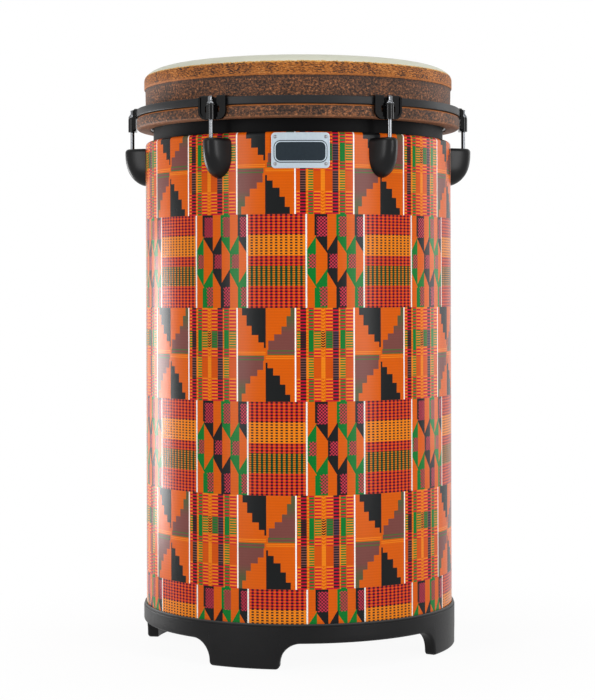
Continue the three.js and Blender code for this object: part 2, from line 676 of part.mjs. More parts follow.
// Teardrop lug: full and flat at the top, narrowing to a rounded tip, its back curved to the shell.
function lugSection(share) {
  const taper = ([rise, fall]) => (1 - share ** rise) ** fall;
  const width = (LUG_WIDTH / 2) * taper(LUG_WIDTH_POWERS);
  const depth = LUG_DEPTH * taper(LUG_DEPTH_POWERS);
  const intoRound = Math.max(0, LUG_TOP_ROUND - share * LUG_HEIGHT);
  const inset = LUG_TOP_ROUND - Math.sqrt(LUG_TOP_ROUND ** 2 - intoRound ** 2);
  const half = width - inset;
  const reach = depth - inset;
  const height = LUG_TOP - share * LUG_HEIGHT;
  const wall = (x) => Math.sqrt(LUG_BACK ** 2 - x ** 2);
  const front = Array.from({ length: LUG_FRONT_STEPS + 1 }, (_, i) => {
    const turn = (Math.PI * i) / LUG_FRONT_STEPS;
    const x = half * Math.cos(turn);
    const bulge = 1 - Math.abs(Math.cos(turn)) ** LUG_FRONT_POWER;
    return new THREE.Vector3(x, -(wall(x) + reach * bulge), height);
  });
  const back = Array.from({ length: LUG_BACK_STEPS - 1 }, (_, i) => {
    const x = -half + (2 * half * (i + 1)) / LUG_BACK_STEPS;
    return new THREE.Vector3(x, -wall(x), height);
  });
  return [...front, ...back];
}

function tuningLug() {
  const shares = [...LUG_TOP_SHARES];
  const start = LUG_TOP_SHARES.at(-1);
  for (let i = 1; i < LUG_SECTIONS; i += 1) {
    shares.push(start + (LUG_TIP_SHARE - start) * Math.sin((QUARTER * i) / (LUG_SECTIONS - 1)));
  }
  const body = loft(shares.map(lugSection), false);
  const bore = uprightPin(ROD_BORE, LUG_BORE_BOTTOM, LUG_TOP + CUT_MARGIN).translate(0, -ROD_CIRCLE, 0);
  const pocketFront = ROD_CIRCLE + NUT_DEPTH / 2 + SEAT;
  const pocket = block(
    [-NUT_WIDTH / 2 - SEAT, LUG_BACK - LUG_FRONT_WALL, NUT_BOTTOM - SEAT],
    [NUT_WIDTH / 2 + SEAT, pocketFront, NUT_TOP + SEAT],
  );
  const screwHoles = Object.values(SCREW_HEIGHTS).map((height) =>
    radialPin(SCREW_HOLE, SHELL_RADIUS - SEAT, LUG_BACK + SCREW_BITE + SEAT)
      .translate(0, 0, height));
  return cut(body, [bore, pocket, ...screwHoles]);
}

function lugNut() {
  const body = block(
    [-NUT_WIDTH / 2, ROD_CIRCLE - NUT_DEPTH / 2, NUT_BOTTOM],
    [NUT_WIDTH / 2, ROD_CIRCLE + NUT_DEPTH / 2, NUT_TOP],
  );
  const bore = uprightPin(ROD_BORE, NUT_BOTTOM - CUT_MARGIN, NUT_TOP + CUT_MARGIN);
  return cut(body, [bore.translate(0, -ROD_CIRCLE, 0)]);
}

// A lug screw goes in from inside the neck ring, through the tube and the print, into the lug.
function lugScrew(height) {
  const face = NECK_BORE - SCREW_HEAD_RADIUS * Math.tan(Math.PI / ROUND_STEPS) - SEAT;
  return revolveRadially([
    [0, face - SCREW_HEAD_HEIGHT],
    [SCREW_HEAD_RADIUS * SCREW_HEAD_TOP, face - SCREW_HEAD_HEIGHT],
    [SCREW_HEAD_RADIUS, face],
    [SCREW_RADIUS, face],
    [SCREW_RADIUS, LUG_BACK + SCREW_BITE],
    [0, LUG_BACK + SCREW_BITE],
  ], SCREW_STEPS).translate(0, 0, height);
}

function badgePlate() {
  const band = revolve([
    [BADGE_BACK, BADGE_TOP - BADGE_HEIGHT],
    [BADGE_FRONT, BADGE_TOP - BADGE_HEIGHT],
    [BADGE_FRONT, BADGE_TOP],
    [BADGE_BACK, BADGE_TOP],
  ], FINE_STEPS);
  const half = BADGE_WIDTH / 2;
  const [low, high] = [BADGE_TOP - BADGE_HEIGHT, BADGE_TOP];
  const outline = new THREE.Shape();
  outline.absarc(half - BADGE_CORNER, high - BADGE_CORNER, BADGE_CORNER, 0, QUARTER, false);
  outline.absarc(BADGE_CORNER - half, high - BADGE_CORNER, BADGE_CORNER, QUARTER, 2 * QUARTER, false);
  outline.absarc(BADGE_CORNER - half, low + BADGE_CORNER, BADGE_CORNER, 2 * QUARTER, 3 * QUARTER, false);
  outline.absarc(half - BADGE_CORNER, low + BADGE_CORNER, BADGE_CORNER, 3 * QUARTER, 4 * QUARTER, false);
  const blank = extrudeForward(outline, BADGE_BACK - BADGE_WIDTH / 2, BADGE_WIDTH);
  return cut(geometryOf(solid(band).intersect(solid(blank))), rivetHoles(BADGE_FRONT + RIVET_BITE));
}

function badgeRivet() {
  const face = BADGE_FRONT + SEAT;
  return revolveRadially([
    [0, SHELL_RADIUS - RIVET_BITE],
    [RIVET_RADIUS, SHELL_RADIUS - RIVET_BITE],
    [RIVET_RADIUS, face],
    [RIVET_HEAD_RADIUS, face],
    [RIVET_HEAD_RADIUS * RIVET_SHOULDER.radius, face + RIVET_HEAD_HEIGHT * RIVET_SHOULDER.height],
    [0, face + RIVET_HEAD_HEIGHT],
  ], SCREW_STEPS);
}

const finish = (colour, roughness, metalness = 0) =>
  new THREE.MeshStandardMaterial({ color: new THREE.Color(colour), roughness, metalness });

const FINISHES = {
  board: finish('#6b4a30', 0.8),
  print: finish('#e0702c', 0.45),
  blackRing: finish('#1b1b1c', 0.55),
  film: finish('#d0d2c6', 0.5),
  skirtFilm: finish('#6d4a35', 0.65),
  aluminium: finish('#b6bbc0', 0.35, 1),
  blackSteel: finish('#333436', 0.42, 0.4),
  chrome: finish('#d5d9dd', 0.12, 1),
  nylon: finish('#1c1c1c', 0.6),
  steel: finish('#8e9296', 0.35, 1),
  rubber: finish('#262626', 0.75),
};

const drum = new THREE.Group();

function place(parent, name, geometry, material) {
  const mesh = new THREE.Mesh(geometry, material);
  mesh.name = name;
  parent.add(mesh);
}

place(drum, 'shell_tube', shellTube(), FINISHES.board);
place(drum, 'print_wrap', printWrap(), FINISHES.print);
place(drum, 'neck_ring', neckRing(), FINISHES.blackRing);
place(drum, 'drumhead', drumhead(), FINISHES.film);
place(drum, 'head_skirt', headSkirt(), FINISHES.skirtFilm);
place(drum, 'flesh_hoop', fleshHoop(), FINISHES.aluminium);
place(drum, 'counterhoop', counterhoop(), FINISHES.blackSteel);
place(drum, 'foot_ring', footRing(), FINISHES.rubber);
place(drum, 'bottom_baffle', bottomBaffle(), FINISHES.board);
place(drum, 'bass_tube', bassTube(), FINISHES.board);
place(drum, 'badge_plate', badgePlate(), FINISHES.aluminium);

rivetPlaces().forEach(({ angle, height }, i) => {
  const rivet = new THREE.Group();
  rivet.rotation.z = angle;
  rivet.position.z = height;
  place(rivet, `badge_rivet_${i + 1}`, badgeRivet(), FINISHES.aluminium);
  drum.add(rivet);
});

const stationPieces = [
  ['hoop_clip', hoopClip(), FINISHES.blackSteel],
  ['tension_rod', tensionRod(), FINISHES.chrome],
  ['rod_washer', rodWasher(), FINISHES.nylon],
  ['tuning_lug', tuningLug(), FINISHES.blackSteel],
  ['lug_nut', lugNut(), FINISHES.steel],
  ['upper_lug_screw', lugScrew(SCREW_HEIGHTS.upper), FINISHES.steel],
  ['lower_lug_screw', lugScrew(SCREW_HEIGHTS.lower), FINISHES.steel],
];

for (let i = 0; i < STATION_COUNT; i += 1) {
  const station = new THREE.Group();
  station.rotation.z = stationAngle(i);
  for (const [name, geometry, material] of stationPieces) {
    place(station, `${name}_${i + 1}`, geometry, material);
  }
  drum.add(station);
}

export default drum;
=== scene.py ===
import math

import bmesh
import bpy
from mathutils import Euler, Matrix, Vector


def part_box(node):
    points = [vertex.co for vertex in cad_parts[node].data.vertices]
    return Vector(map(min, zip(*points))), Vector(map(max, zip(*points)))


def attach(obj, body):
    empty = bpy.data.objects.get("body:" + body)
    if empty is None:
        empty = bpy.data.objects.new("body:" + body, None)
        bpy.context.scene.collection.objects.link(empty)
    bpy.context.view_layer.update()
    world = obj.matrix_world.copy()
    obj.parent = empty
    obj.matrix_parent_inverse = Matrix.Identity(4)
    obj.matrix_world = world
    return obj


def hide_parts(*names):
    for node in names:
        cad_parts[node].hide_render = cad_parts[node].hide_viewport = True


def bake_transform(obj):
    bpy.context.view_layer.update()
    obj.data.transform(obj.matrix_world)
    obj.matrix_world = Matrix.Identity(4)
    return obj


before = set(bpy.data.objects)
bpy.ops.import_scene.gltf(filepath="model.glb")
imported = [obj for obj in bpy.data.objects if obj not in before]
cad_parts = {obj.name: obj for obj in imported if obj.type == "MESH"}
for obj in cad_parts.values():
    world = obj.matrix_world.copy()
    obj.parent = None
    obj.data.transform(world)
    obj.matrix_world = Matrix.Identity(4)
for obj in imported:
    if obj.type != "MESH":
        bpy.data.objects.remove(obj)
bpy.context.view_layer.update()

MM = 0.001
QUARTER = math.pi / 2


def low(node):
    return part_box(node)[0] / MM


def high(node):
    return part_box(node)[1] / MM


def ring_sizes(node):
    """Radius, top and bottom of a part that goes round the drum's axis."""
    return high(node).x, high(node).z, low(node).z


# Sizes read from the frame
SHELL_RADIUS, SHELL_TOP, SHELL_BOTTOM = ring_sizes("print_wrap")
TUBE_RADIUS = high("shell_tube").x
NECK_RADIUS, NECK_TOP, NECK_BOTTOM = ring_sizes("neck_ring")
CUFF_RADIUS, HEAD_TOP, _ = ring_sizes("drumhead")
SKIRT_RADIUS, SKIRT_TOP, SKIRT_BOTTOM = ring_sizes("head_skirt")
FLESH_RADIUS, FLESH_TOP, FLESH_BOTTOM = ring_sizes("flesh_hoop")
COUNTERHOOP_RADIUS, COUNTERHOOP_TOP, COUNTERHOOP_BOTTOM = ring_sizes("counterhoop")
RING_TOP = high("foot_ring").z
_, BAFFLE_TOP, BAFFLE_BOTTOM = ring_sizes("bottom_baffle")
BASS_RADIUS, BASS_TOP, _ = ring_sizes("bass_tube")
CLIP_TOP = high("hoop_clip_2").z
CLIP_BOTTOM = low("hoop_clip_2").z
CLIP_WIDTH = high("hoop_clip_2").y - low("hoop_clip_2").y
ROD_CIRCLE = (high("tension_rod_2").x + low("tension_rod_2").x) / 2
ROD_TOP = high("tension_rod_2").z
ROD_TIP = low("tension_rod_2").z
WASHER_BOTTOM = low("rod_washer_2").z
WASHER_TOP = high("rod_washer_2").z
WASHER_RADIUS = high("rod_washer_2").y
LUG_TOP = high("tuning_lug_2").z
LUG_FRONT = high("tuning_lug_2").x
LUG_WIDTH = high("tuning_lug_2").y - low("tuning_lug_2").y
BADGE_WIDTH = high("badge_plate").x - low("badge_plate").x
BADGE_TOP = high("badge_plate").z
BADGE_BOTTOM = low("badge_plate").z
RIVETS = [(high(f"badge_rivet_{i}") + low(f"badge_rivet_{i}")) / 2 for i in range(1, 5)]

# Sizes that the frame's boxes don't give
SEAT = 0.3
SHELL_WALL = 7.3
SHELL_BORE = TUBE_RADIUS - SHELL_WALL
PRINT_THICKNESS = 0.8
SHOULDER_RADIUS = 3.6
NECK_WALL = 8.4
BEARING_EDGE_ROUND = 5.0
FILM = 1.0
HEAD_SHOULDER_WIDTH = 28.0
HEAD_SHOULDER_DROP = 14.0
HEAD_SHOULDER_POWER = 2.0
CUFF_BOTTOM = HEAD_TOP - 23.5
COLLAR_RADIUS = 169.1
COLLAR_BLEND_TOP = 607.0
COLLAR_BLEND = 20.0
COLLAR_FOOT_ROUND = 3.0
CUFF_STEP = 1.3
CUFF_STRAIGHT = 5.0
HEM_OFFSET = 3.5
FILM_EDGE = 626.0
SKIRT_ROUND = 3.0
COUNTERHOOP_THICKNESS = 5.8
FLESH_HOOP_GAP = 1.5
BASS_WALL = 4.0
FOOT_COUNT = 4
FIRST_FOOT_ANGLE = math.radians(69.0)
FOOT_WIDTH = 79.6
FOOT_HEIGHT = 26.6
FOOT_CORNER = 4.6
RING_THICKNESS = 3.0
RING_LEDGE = 7.0
RING_REACH = 9.4
RING_LIP_STEP = 0.9
RING_OUTER_ROUND = 3.2
RING_INNER_ROUND = 1.5
STATION_COUNT = 6
STATION_STEP = 2 * math.pi / STATION_COUNT
FIRST_STATION = STATION_STEP / 2
CLIP_PLATE = 2.0
CLIP_RIM = 1.2
CLIP_RIM_WIDTH = 2.3
CLIP_CORNER = 9.0
CLIP_BEND = 1.9
HOOK_THICKNESS = 1.6
HOOK_REACH = 5.0
HOOK_ROUND = 1.6
HOOK_COLLAR_GAP = 1.3
EAR_CORNER = 3.4
WINDOW_OFFSET = 7.2
WINDOW_HEIGHT = 7.0
WINDOW_DROP = 0.8
WINDOW_ROUND = 1.5
NOTCH_ROOM = 0.7
SLEEVE_RADIUS = 4.6
SLEEVE_DROP = 0.3
ROD_RADIUS = 2.5
SHANK_RADIUS = 2.2
ROD_BORE = 3.0
ROD_FLANGE_RADIUS = 4.5
ROD_FLANGE_HEIGHT = 0.9
ROD_HEAD_HALF = 2.45
THREAD_PITCH = 1.058
THREAD_DEPTH = 0.32
THREAD_LENGTH = 19.5
LUG_HEIGHT = 41.0
LUG_TOP_ROUND = 4.2
BADGE_CORNER = 4.0
BADGE_THICKNESS = 1.0
BADGE_BORDER = 1.3

# Steps of the round pieces, and how far a cutter goes past what it cuts
TURN_STEPS = 192
PIN_STEPS = 32
RIVET_STEPS = 20
CUTTER_MARGIN = 2
CUTTER_DEPTH = 40
CUTTER_FRONT = ROD_CIRCLE + 12


def arc(centre, radius, start, end, steps=6):
    """Points of an arc, both ends included, with its angles in degrees."""
    turns = [math.radians(start + (end - start) * i / steps) for i in range(steps + 1)]
    return [(centre[0] + radius * math.cos(t), centre[1] + radius * math.sin(t)) for t in turns]


def eased(inner, outer, bottom, top, *corners):
    """A ring's section with rounded corners. Each corner is a radius and its steps, and they go round from
    the inner lower one over the outer lower one."""
    sides = ((inner, 1, bottom, 1, 180), (outer, -1, bottom, 1, -90),
             (outer, -1, top, -1, 0), (inner, 1, top, -1, 90))
    points = []
    for (across, inwards, height, up, start), (radius, steps) in zip(sides, corners):
        points += arc((across + inwards * radius, height + up * radius), radius, start, start + 90, steps)
    return points


def rectangle(left, right, bottom, top):
    """Corners of a rectangle, from its lower left one."""
    return [(left, bottom), (right, bottom), (right, top), (left, top)]


def polar(radius, angle, height):
    return Vector((radius * math.sin(angle), -radius * math.cos(angle), height))


def make_piece(name, points, faces, finish):
    """A mesh piece from points in millimetres, with its faces turned outwards and its round parts smooth."""
    mesh = bpy.data.meshes.new(name)
    mesh.from_pydata([Vector(p) * MM for p in points], [], faces)
    return dress(name, mesh, finish)


def dress(name, mesh, finish, angle=34):
    work = bmesh.new()
    work.from_mesh(mesh)
    bmesh.ops.remove_doubles(work, verts=work.verts, dist=0.002 * MM)
    bmesh.ops.dissolve_degenerate(work, edges=work.edges, dist=0.001 * MM)
    bmesh.ops.recalc_face_normals(work, faces=work.faces)
    work.to_mesh(mesh)
    work.free()
    mesh.shade_smooth()
    mesh.set_sharp_from_angle(angle=math.radians(angle))
    mesh.materials.clear()
    mesh.materials.append(finish)
    mesh.name = name
    piece = bpy.data.objects.new(name, mesh)
    bpy.context.scene.collection.objects.link(piece)
    return piece


def lofted(name, rings, finish, closed=False):
    """Closed rings of points joined in turn, as a loop of them or with the first and last ring capped."""
    count, size = len(rings), len(rings[0])
    faces = []
    for i in range(count if closed else count - 1):
        near, far = i * size, ((i + 1) % count) * size
        for j in range(size):
            k = (j + 1) % size
            faces.append((near + j, near + k, far + k, far + j))
    if not closed:
        last = (count - 1) * size
        faces += [tuple(range(size)), tuple(reversed(range(last, last + size)))]
    return make_piece(name, [point for ring in rings for point in ring], faces, finish)


def turned(name, profile, finish, steps=TURN_STEPS, centre=(0, 0)):
    """A closed profile of (radius, height) revolved round an upright line."""
    middle = Vector((*centre, 0))
    angles = [2 * math.pi * i / steps for i in range(steps)]
    rings = [[polar(r, angle, z) + middle for r, z in profile] for angle in angles]
    return lofted(name, rings, finish, closed=True)


def settled(piece):
    """Applies a piece's modifiers to its mesh."""
    depsgraph = bpy.context.evaluated_depsgraph_get()
    mesh = bpy.data.meshes.new_from_object(piece.evaluated_get(depsgraph))
    piece.modifiers.clear()
    piece.data = mesh
    return piece


def dressed_again(piece, name, angle):
    """A piece's changed mesh, cleaned and shaded under a name."""
    mesh = piece.data
    bpy.data.objects.remove(piece)
    return dress(name, mesh, mesh.materials[0], angle)


def joined(first, others, operation):
    """Joins or cuts closed pieces with a boolean, and drops the tools."""
    for other in others:
        boolean = first.modifiers.new("join", "BOOLEAN")
        boolean.solver = "EXACT"
        boolean.operation = operation
        boolean.object = other
    settled(first)
    for other in others:
        bpy.data.objects.remove(other)
    return first


def copies_tree():
    """Copies of a piece round the drum's axis, the first one at First Angle."""
    tree = bpy.data.node_groups.new("copies_round_the_drum", "GeometryNodeTree")
    kinds = {"Piece": "Geometry", "Count": "Int", "First Angle": "Float", "Angle Step": "Float",
             "Finish": "Material"}
    for name, kind in kinds.items():
        tree.interface.new_socket(name, in_out="INPUT", socket_type=f"NodeSocket{kind}")
    tree.interface.new_socket("Copies", in_out="OUTPUT", socket_type="NodeSocketGeometry")
    add, link = tree.nodes.new, tree.links.new
    given, made = add("NodeGroupInput"), add("NodeGroupOutput")
    points = add("GeometryNodePoints")
    index = add("GeometryNodeInputIndex")
    turn = add("ShaderNodeMath")
    turn.operation = "MULTIPLY_ADD"
    spin = add("ShaderNodeCombineXYZ")
    rotation = add("FunctionNodeEulerToRotation")
    copies = add("GeometryNodeInstanceOnPoints")
    realize = add("GeometryNodeRealizeInstances")
    finish = add("GeometryNodeSetMaterial")
    link(given.outputs["Count"], points.inputs["Count"])
    link(index.outputs[0], turn.inputs[0])
    link(given.outputs["Angle Step"], turn.inputs[1])
    link(given.outputs["First Angle"], turn.inputs[2])
    link(turn.outputs[0], spin.inputs["Z"])
    link(spin.outputs[0], rotation.inputs[0])
    link(points.outputs[0], copies.inputs["Points"])
    link(given.outputs["Piece"], copies.inputs["Instance"])
    link(rotation.outputs[0], copies.inputs["Rotation"])
    link(copies.outputs[0], realize.inputs[0])
    link(realize.outputs[0], finish.inputs["Geometry"])
    link(given.outputs["Finish"], finish.inputs["Material"])
    link(finish.outputs[0], made.inputs[0])
    return tree


COPIES = copies_tree()


def round_the_drum(piece, count=STATION_COUNT, first=FIRST_STATION, step=STATION_STEP):
    """Sets copies of a piece, made at the front, round the drum's axis, and drops the first one."""
    modifier = piece.modifiers.new("copies", "NODES")
    modifier.node_group = COPIES
    values = {"Count": count, "First Angle": first, "Angle Step": step, "Finish": piece.data.materials[0]}
    for item in COPIES.interface.items_tree:
        if item.name in values and item.in_out == "INPUT":
            modifier[item.identifier] = values[item.name]
    return settled(piece)


class Wire:
    """An output of a finish's node tree. Arithmetic on it adds Math nodes."""

    def __init__(self, finish, socket):
        self.finish = finish
        self.socket = socket

    def math(self, operation, *others):
        inputs = dict(enumerate((self, *others)))
        return self.finish.node("ShaderNodeMath", {"operation": operation}, inputs)

    def __add__(self, other):
        return self.math("ADD", other)

    def __sub__(self, other):
        return self.math("SUBTRACT", other)

    def __rsub__(self, other):
        return self.finish.node("ShaderNodeMath", {"operation": "SUBTRACT"}, {0: other, 1: self})

    def __mul__(self, other):
        return self.math("MULTIPLY", other)

    def __truediv__(self, other):
        return self.math("DIVIDE", other)

    def __mod__(self, other):
        return self.math("FLOORED_MODULO", other)

    def __gt__(self, other):
        return self.math("GREATER_THAN", other)

    def __lt__(self, other):
        return self.math("LESS_THAN", other)

    def __neg__(self):
        return self.math("MULTIPLY", -1.0)

    __radd__ = __add__
    __rmul__ = __mul__

    def either(self, other):
        return self.math("MAXIMUM", other)


class Finish:
    """A node tree in the making, of a material or of the world."""

    def __init__(self, name, library=bpy.data.materials):
        self.holder = library.new(name)
        self.holder.use_nodes = True
        self.tree = self.holder.node_tree
        self.tree.nodes.clear()

    def node(self, kind, settings=None, inputs=None, output=0):
        node = self.tree.nodes.new(kind)
        for key, value in (settings or {}).items():
            if key == "stops":
                self.fill_ramp(node.color_ramp, value)
            else:
                setattr(node, key, value)
        for key, value in (inputs or {}).items():
            if isinstance(value, Wire):
                self.tree.links.new(value.socket, node.inputs[key])
            else:
                node.inputs[key].default_value = value
        return None if output is None else Wire(self, node.outputs[output])

    def fill_ramp(self, ramp, stops):
        ramp.interpolation = stops["interpolation"]
        places = stops["places"]
        # The elements sort themselves as they are placed, so both loops set the places
        while len(ramp.elements) < len(places):
            ramp.elements.new(1.0)
        for element, (place, _) in zip(ramp.elements, places):
            element.position = place
        for element, (place, colour) in zip(ramp.elements, places):
            element.position = place
            element.color = colour if isinstance(colour, tuple) else (colour, colour, colour, 1.0)

    def ramp(self, value, places, interpolation="LINEAR"):
        stops = {"interpolation": interpolation, "places": places}
        return self.node("ShaderNodeValToRGB", {"stops": stops}, {0: value})

    def place(self):
        """Object coordinates in millimetres, as a vector and as x, y and z."""
        coordinates = self.node("ShaderNodeTexCoord", output="Object")
        scaled = self.node("ShaderNodeVectorMath", {"operation": "SCALE"}, {0: coordinates, "Scale": 1 / MM})
        split = self.tree.nodes.new("ShaderNodeSeparateXYZ")
        self.tree.links.new(scaled.socket, split.inputs[0])
        return scaled, *[Wire(self, out) for out in split.outputs]

    def vector(self, x, y, z):
        return self.node("ShaderNodeCombineXYZ", inputs={0: x, 1: y, 2: z})

    def noise(self, place, scale, detail=3.0, roughness=0.5):
        inputs = {"Vector": place, "Scale": scale, "Detail": detail, "Roughness": roughness}
        return self.node("ShaderNodeTexNoise", inputs=inputs)

    def mix(self, share, start, end):
        """A colour between two, by a share."""
        return self.node("ShaderNodeMix", {"data_type": "RGBA"}, {0: share, 6: start, 7: end}, output=2)

    def blend(self, share, start, end):
        """A number between two, by a share."""
        return self.node("ShaderNodeMix", {"data_type": "FLOAT"}, {0: share, 2: start, 3: end})

    def bump(self, height, strength, distance=0.1):
        inputs = {"Height": height, "Strength": strength, "Distance": distance * MM}
        return self.node("ShaderNodeBump", inputs=inputs)

    def done(self, **sockets):
        """Ends the material in one Principled shader, named sockets first."""
        inputs = {name.replace("_", " "): value for name, value in sockets.items()}
        shader = self.node("ShaderNodeBsdfPrincipled", inputs=inputs)
        self.node("ShaderNodeOutputMaterial", inputs={"Surface": shader}, output=None)
        return self.holder


def ink(red, green, blue):
    """A colour given in screen values from 0 to 255."""
    def linear(value):
        share = value / 255
        return share / 12.92 if share <= 0.04045 else ((share + 0.055) / 1.055) ** 2.4

    return (linear(red), linear(green), linear(blue), 1.0)


# Camera, stage and light, in metres. The photograph is 595 by 700, taken level and a little to the left.
PURE_WHITE = (1, 1, 1, 1)
FILL_STRENGTH = 0.27
FLOOR_REACH = 14.0


def set_camera():
    aim = math.radians(0.85)
    roll = math.radians(-0.16)
    distance, height = 2.141, 0.3867
    lens = bpy.data.cameras.new("camera")
    lens.lens = 98.75
    lens.sensor_width = 36.0
    lens.shift_x = -0.0014
    lens.shift_y = -0.081
    camera = bpy.data.objects.new("camera", lens)
    camera.location = (-distance * math.sin(aim), -distance * math.cos(aim), height)
    level = Euler((QUARTER, 0, -aim)).to_matrix()
    camera.rotation_euler = (level @ Matrix.Rotation(roll, 3, "Z")).to_euler()
    bpy.context.scene.collection.objects.link(camera)
    bpy.context.scene.camera = camera


def softbox(name, place, target, size, power):
    lamp = bpy.data.lights.new(name, "AREA")
    lamp.shape = "RECTANGLE"
    lamp.size, lamp.size_y = size
    lamp.energy = power
    box = bpy.data.objects.new(name, lamp)
    box.location = place
    box.rotation_euler = (Vector(target) - Vector(place)).to_track_quat("-Z", "Y").to_euler()
    bpy.context.scene.collection.objects.link(box)


def seen_directly(finish):
    """One where a camera, glossy or transmission ray meets the surface."""
    rays = [finish.node("ShaderNodeLightPath", output=name)
            for name in ("Is Camera Ray", "Is Glossy Ray", "Is Transmission Ray")]
    return rays[0].either(rays[1]).either(rays[2])


def set_world():
    """White where it is looked at, and a dimmer, even fill light on the drum."""
    finish = Finish("studio", bpy.data.worlds)
    fill = finish.node("ShaderNodeBackground", inputs={"Color": PURE_WHITE, "Strength": FILL_STRENGTH})
    white = finish.node("ShaderNodeBackground", inputs={"Color": PURE_WHITE, "Strength": 1.0})
    mixed = finish.node("ShaderNodeMixShader", inputs={0: seen_directly(finish), 1: fill, 2: white})
    finish.node("ShaderNodeOutputWorld", inputs={"Surface": mixed}, output=None)
    bpy.context.scene.world = finish.holder


def floor_finish():
    """White where the camera looks at it, but for the drum's shadow."""
    finish = Finish("studio_floor")
    lit = finish.node("ShaderNodeBsdfDiffuse", inputs={"Color": (0.9, 0.9, 0.9, 1)})
    white = finish.node("ShaderNodeEmission", inputs={"Color": PURE_WHITE, "Strength": 1.0})
    place, *_ = finish.place()
    away = finish.node("ShaderNodeVectorMath", {"operation": "LENGTH"}, {0: place}, output="Value")
    share = seen_directly(finish) * finish.ramp(away / 1000.0, [(0.22, 0.94), (0.5, 1.0)])
    mixed = finish.node("ShaderNodeMixShader", inputs={0: share, 1: lit, 2: white})
    finish.node("ShaderNodeOutputMaterial", inputs={"Surface": mixed}, output=None)
    return finish.holder


def set_stage():
    mesh = bpy.data.meshes.new("floor")
    corners = rectangle(-FLOOR_REACH, FLOOR_REACH, -FLOOR_REACH, FLOOR_REACH)
    mesh.from_pydata([(x, y, 0) for x, y in corners], [], [(0, 1, 2, 3)])
    mesh.materials.append(floor_finish())
    floor = bpy.data.objects.new("floor", mesh)
    bpy.context.scene.collection.objects.link(floor)


set_camera()
set_stage()
set_world()
softbox("front_left_softbox", (-1.67, -1.73, 0.85), (0, 0, 0.4), (0.6, 1.6), 23)
softbox("front_right_softbox", (1.68, -1.71, 0.85), (0, 0, 0.4), (0.7, 1.6), 29)
softbox("rear_left_softbox", (-1.0, 0.52, 0.25), (0, 0, 0.2), (0.5, 0.5), 8)
softbox("rear_right_softbox", (2.18, 1.01, 0.85), (0, 0, 0.4), (0.9, 1.7), 15.5)
softbox("overhead_softbox", (0, -0.1, 1.9), (0, 0, 0.6), (1.0, 1.0), 7)
bpy.context.scene.view_settings.view_transform = "Standard"


# Finishes
GRAIN = 8.0


def mottled(name, dark, light, scale, roughness, bump=0.0, metallic=0.0, specular=0.5):
    """A finish of two near colours with fine unevenness."""
    finish = Finish(name)
    place, *_ = finish.place()
    cloud = finish.noise(place, scale, 4.0)
    fine = finish.noise(place, scale * GRAIN, 2.0)
    sockets = {
        "Base_Color": finish.mix(cloud, ink(*dark), ink(*light)),
        "Roughness": finish.blend(fine, roughness * 0.85, min(1.0, roughness * 1.15)),
        "Metallic": metallic,
    }
    if bump:
        sockets["Normal"] = finish.bump(fine, bump, 0.3)
    return finish.done(Specular_IOR_Level=specular, **sockets)


SHELL_BOARD = mottled("shell_board", (150, 112, 78), (176, 138, 100), 0.02, 0.8, 0.2)
NECK_BLACK = mottled("black_neck", (8, 8, 9), (12, 12, 13), 0.05, 0.5, 0.15, specular=0.05)
FLESH_METAL = mottled("bare_aluminium", (196, 198, 200), (220, 221, 222), 0.3, 0.32, 0.1, metallic=1.0)
HOOP_STEEL = mottled("black_hoop_steel", (34, 34, 35), (42, 42, 43), 0.1, 0.42, 0.08, specular=0.12)
CLIP_BLACK = mottled("glossy_black_clip", (5, 5, 6), (9, 9, 10), 0.1, 0.14, 0.04, specular=0.2)


def foot_rubber():
    """Black rubber with faint moulding streaks round it and a painted highlight along its upper lip."""
    finish = Finish("moulded_foot_rubber")
    place, x, y, z = finish.place()
    cloud = finish.noise(place, 0.06, 4.0)
    streaks = finish.noise(finish.vector(x * 0.012, y * 0.012, z * 0.9), 1.0, 3.0, 0.6)
    base = finish.mix(cloud * 0.5 + streaks * 0.5, ink(9, 9, 10), ink(22, 22, 23))
    # Painted highlight: the top 1.7 mm of the ring turns grey, broken up by the streaks, where light catches
    # the lip
    lip = finish.ramp((z - (RING_TOP - 1.7)) / 1.2, [(0.0, 0.0), (1.0, 1.0)])
    fine = finish.noise(place, 0.48, 2.0)
    return finish.done(
        Base_Color=finish.mix(lip * (0.3 + streaks * 0.7), base, ink(74, 74, 73)),
        Roughness=finish.blend(fine, 0.38, 0.52),
        Normal=finish.bump(fine + streaks * 0.6, 0.22, 0.3),
        Specular_IOR_Level=0.15,
    )


FOOT_RUBBER = foot_rubber()
ROD_CHROME = mottled("rod_chrome", (110, 112, 115), (118, 120, 123), 0.15, 0.16, metallic=1.0)
WASHER_NYLON = mottled("washer_nylon", (28, 28, 28), (38, 38, 38), 0.5, 0.5, 0.1)
LUG_BLACK = mottled("satin_black_lug", (15, 15, 16), (21, 21, 22), 0.15, 0.3, 0.08, specular=0.16)
PLAIN_STEEL = mottled("plain_steel", (120, 120, 124), (150, 150, 154), 0.4, 0.35, 0.1, metallic=1.0)
BADGE_METAL = mottled("brushed_badge", (168, 182, 192), (186, 198, 207), 0.5, 0.42, 0.05, metallic=0.35)
BADGE_ENAMEL = mottled("dark_badge_panel", (22, 32, 40), (32, 43, 51), 0.3, 0.35, 0.05, specular=0.2)

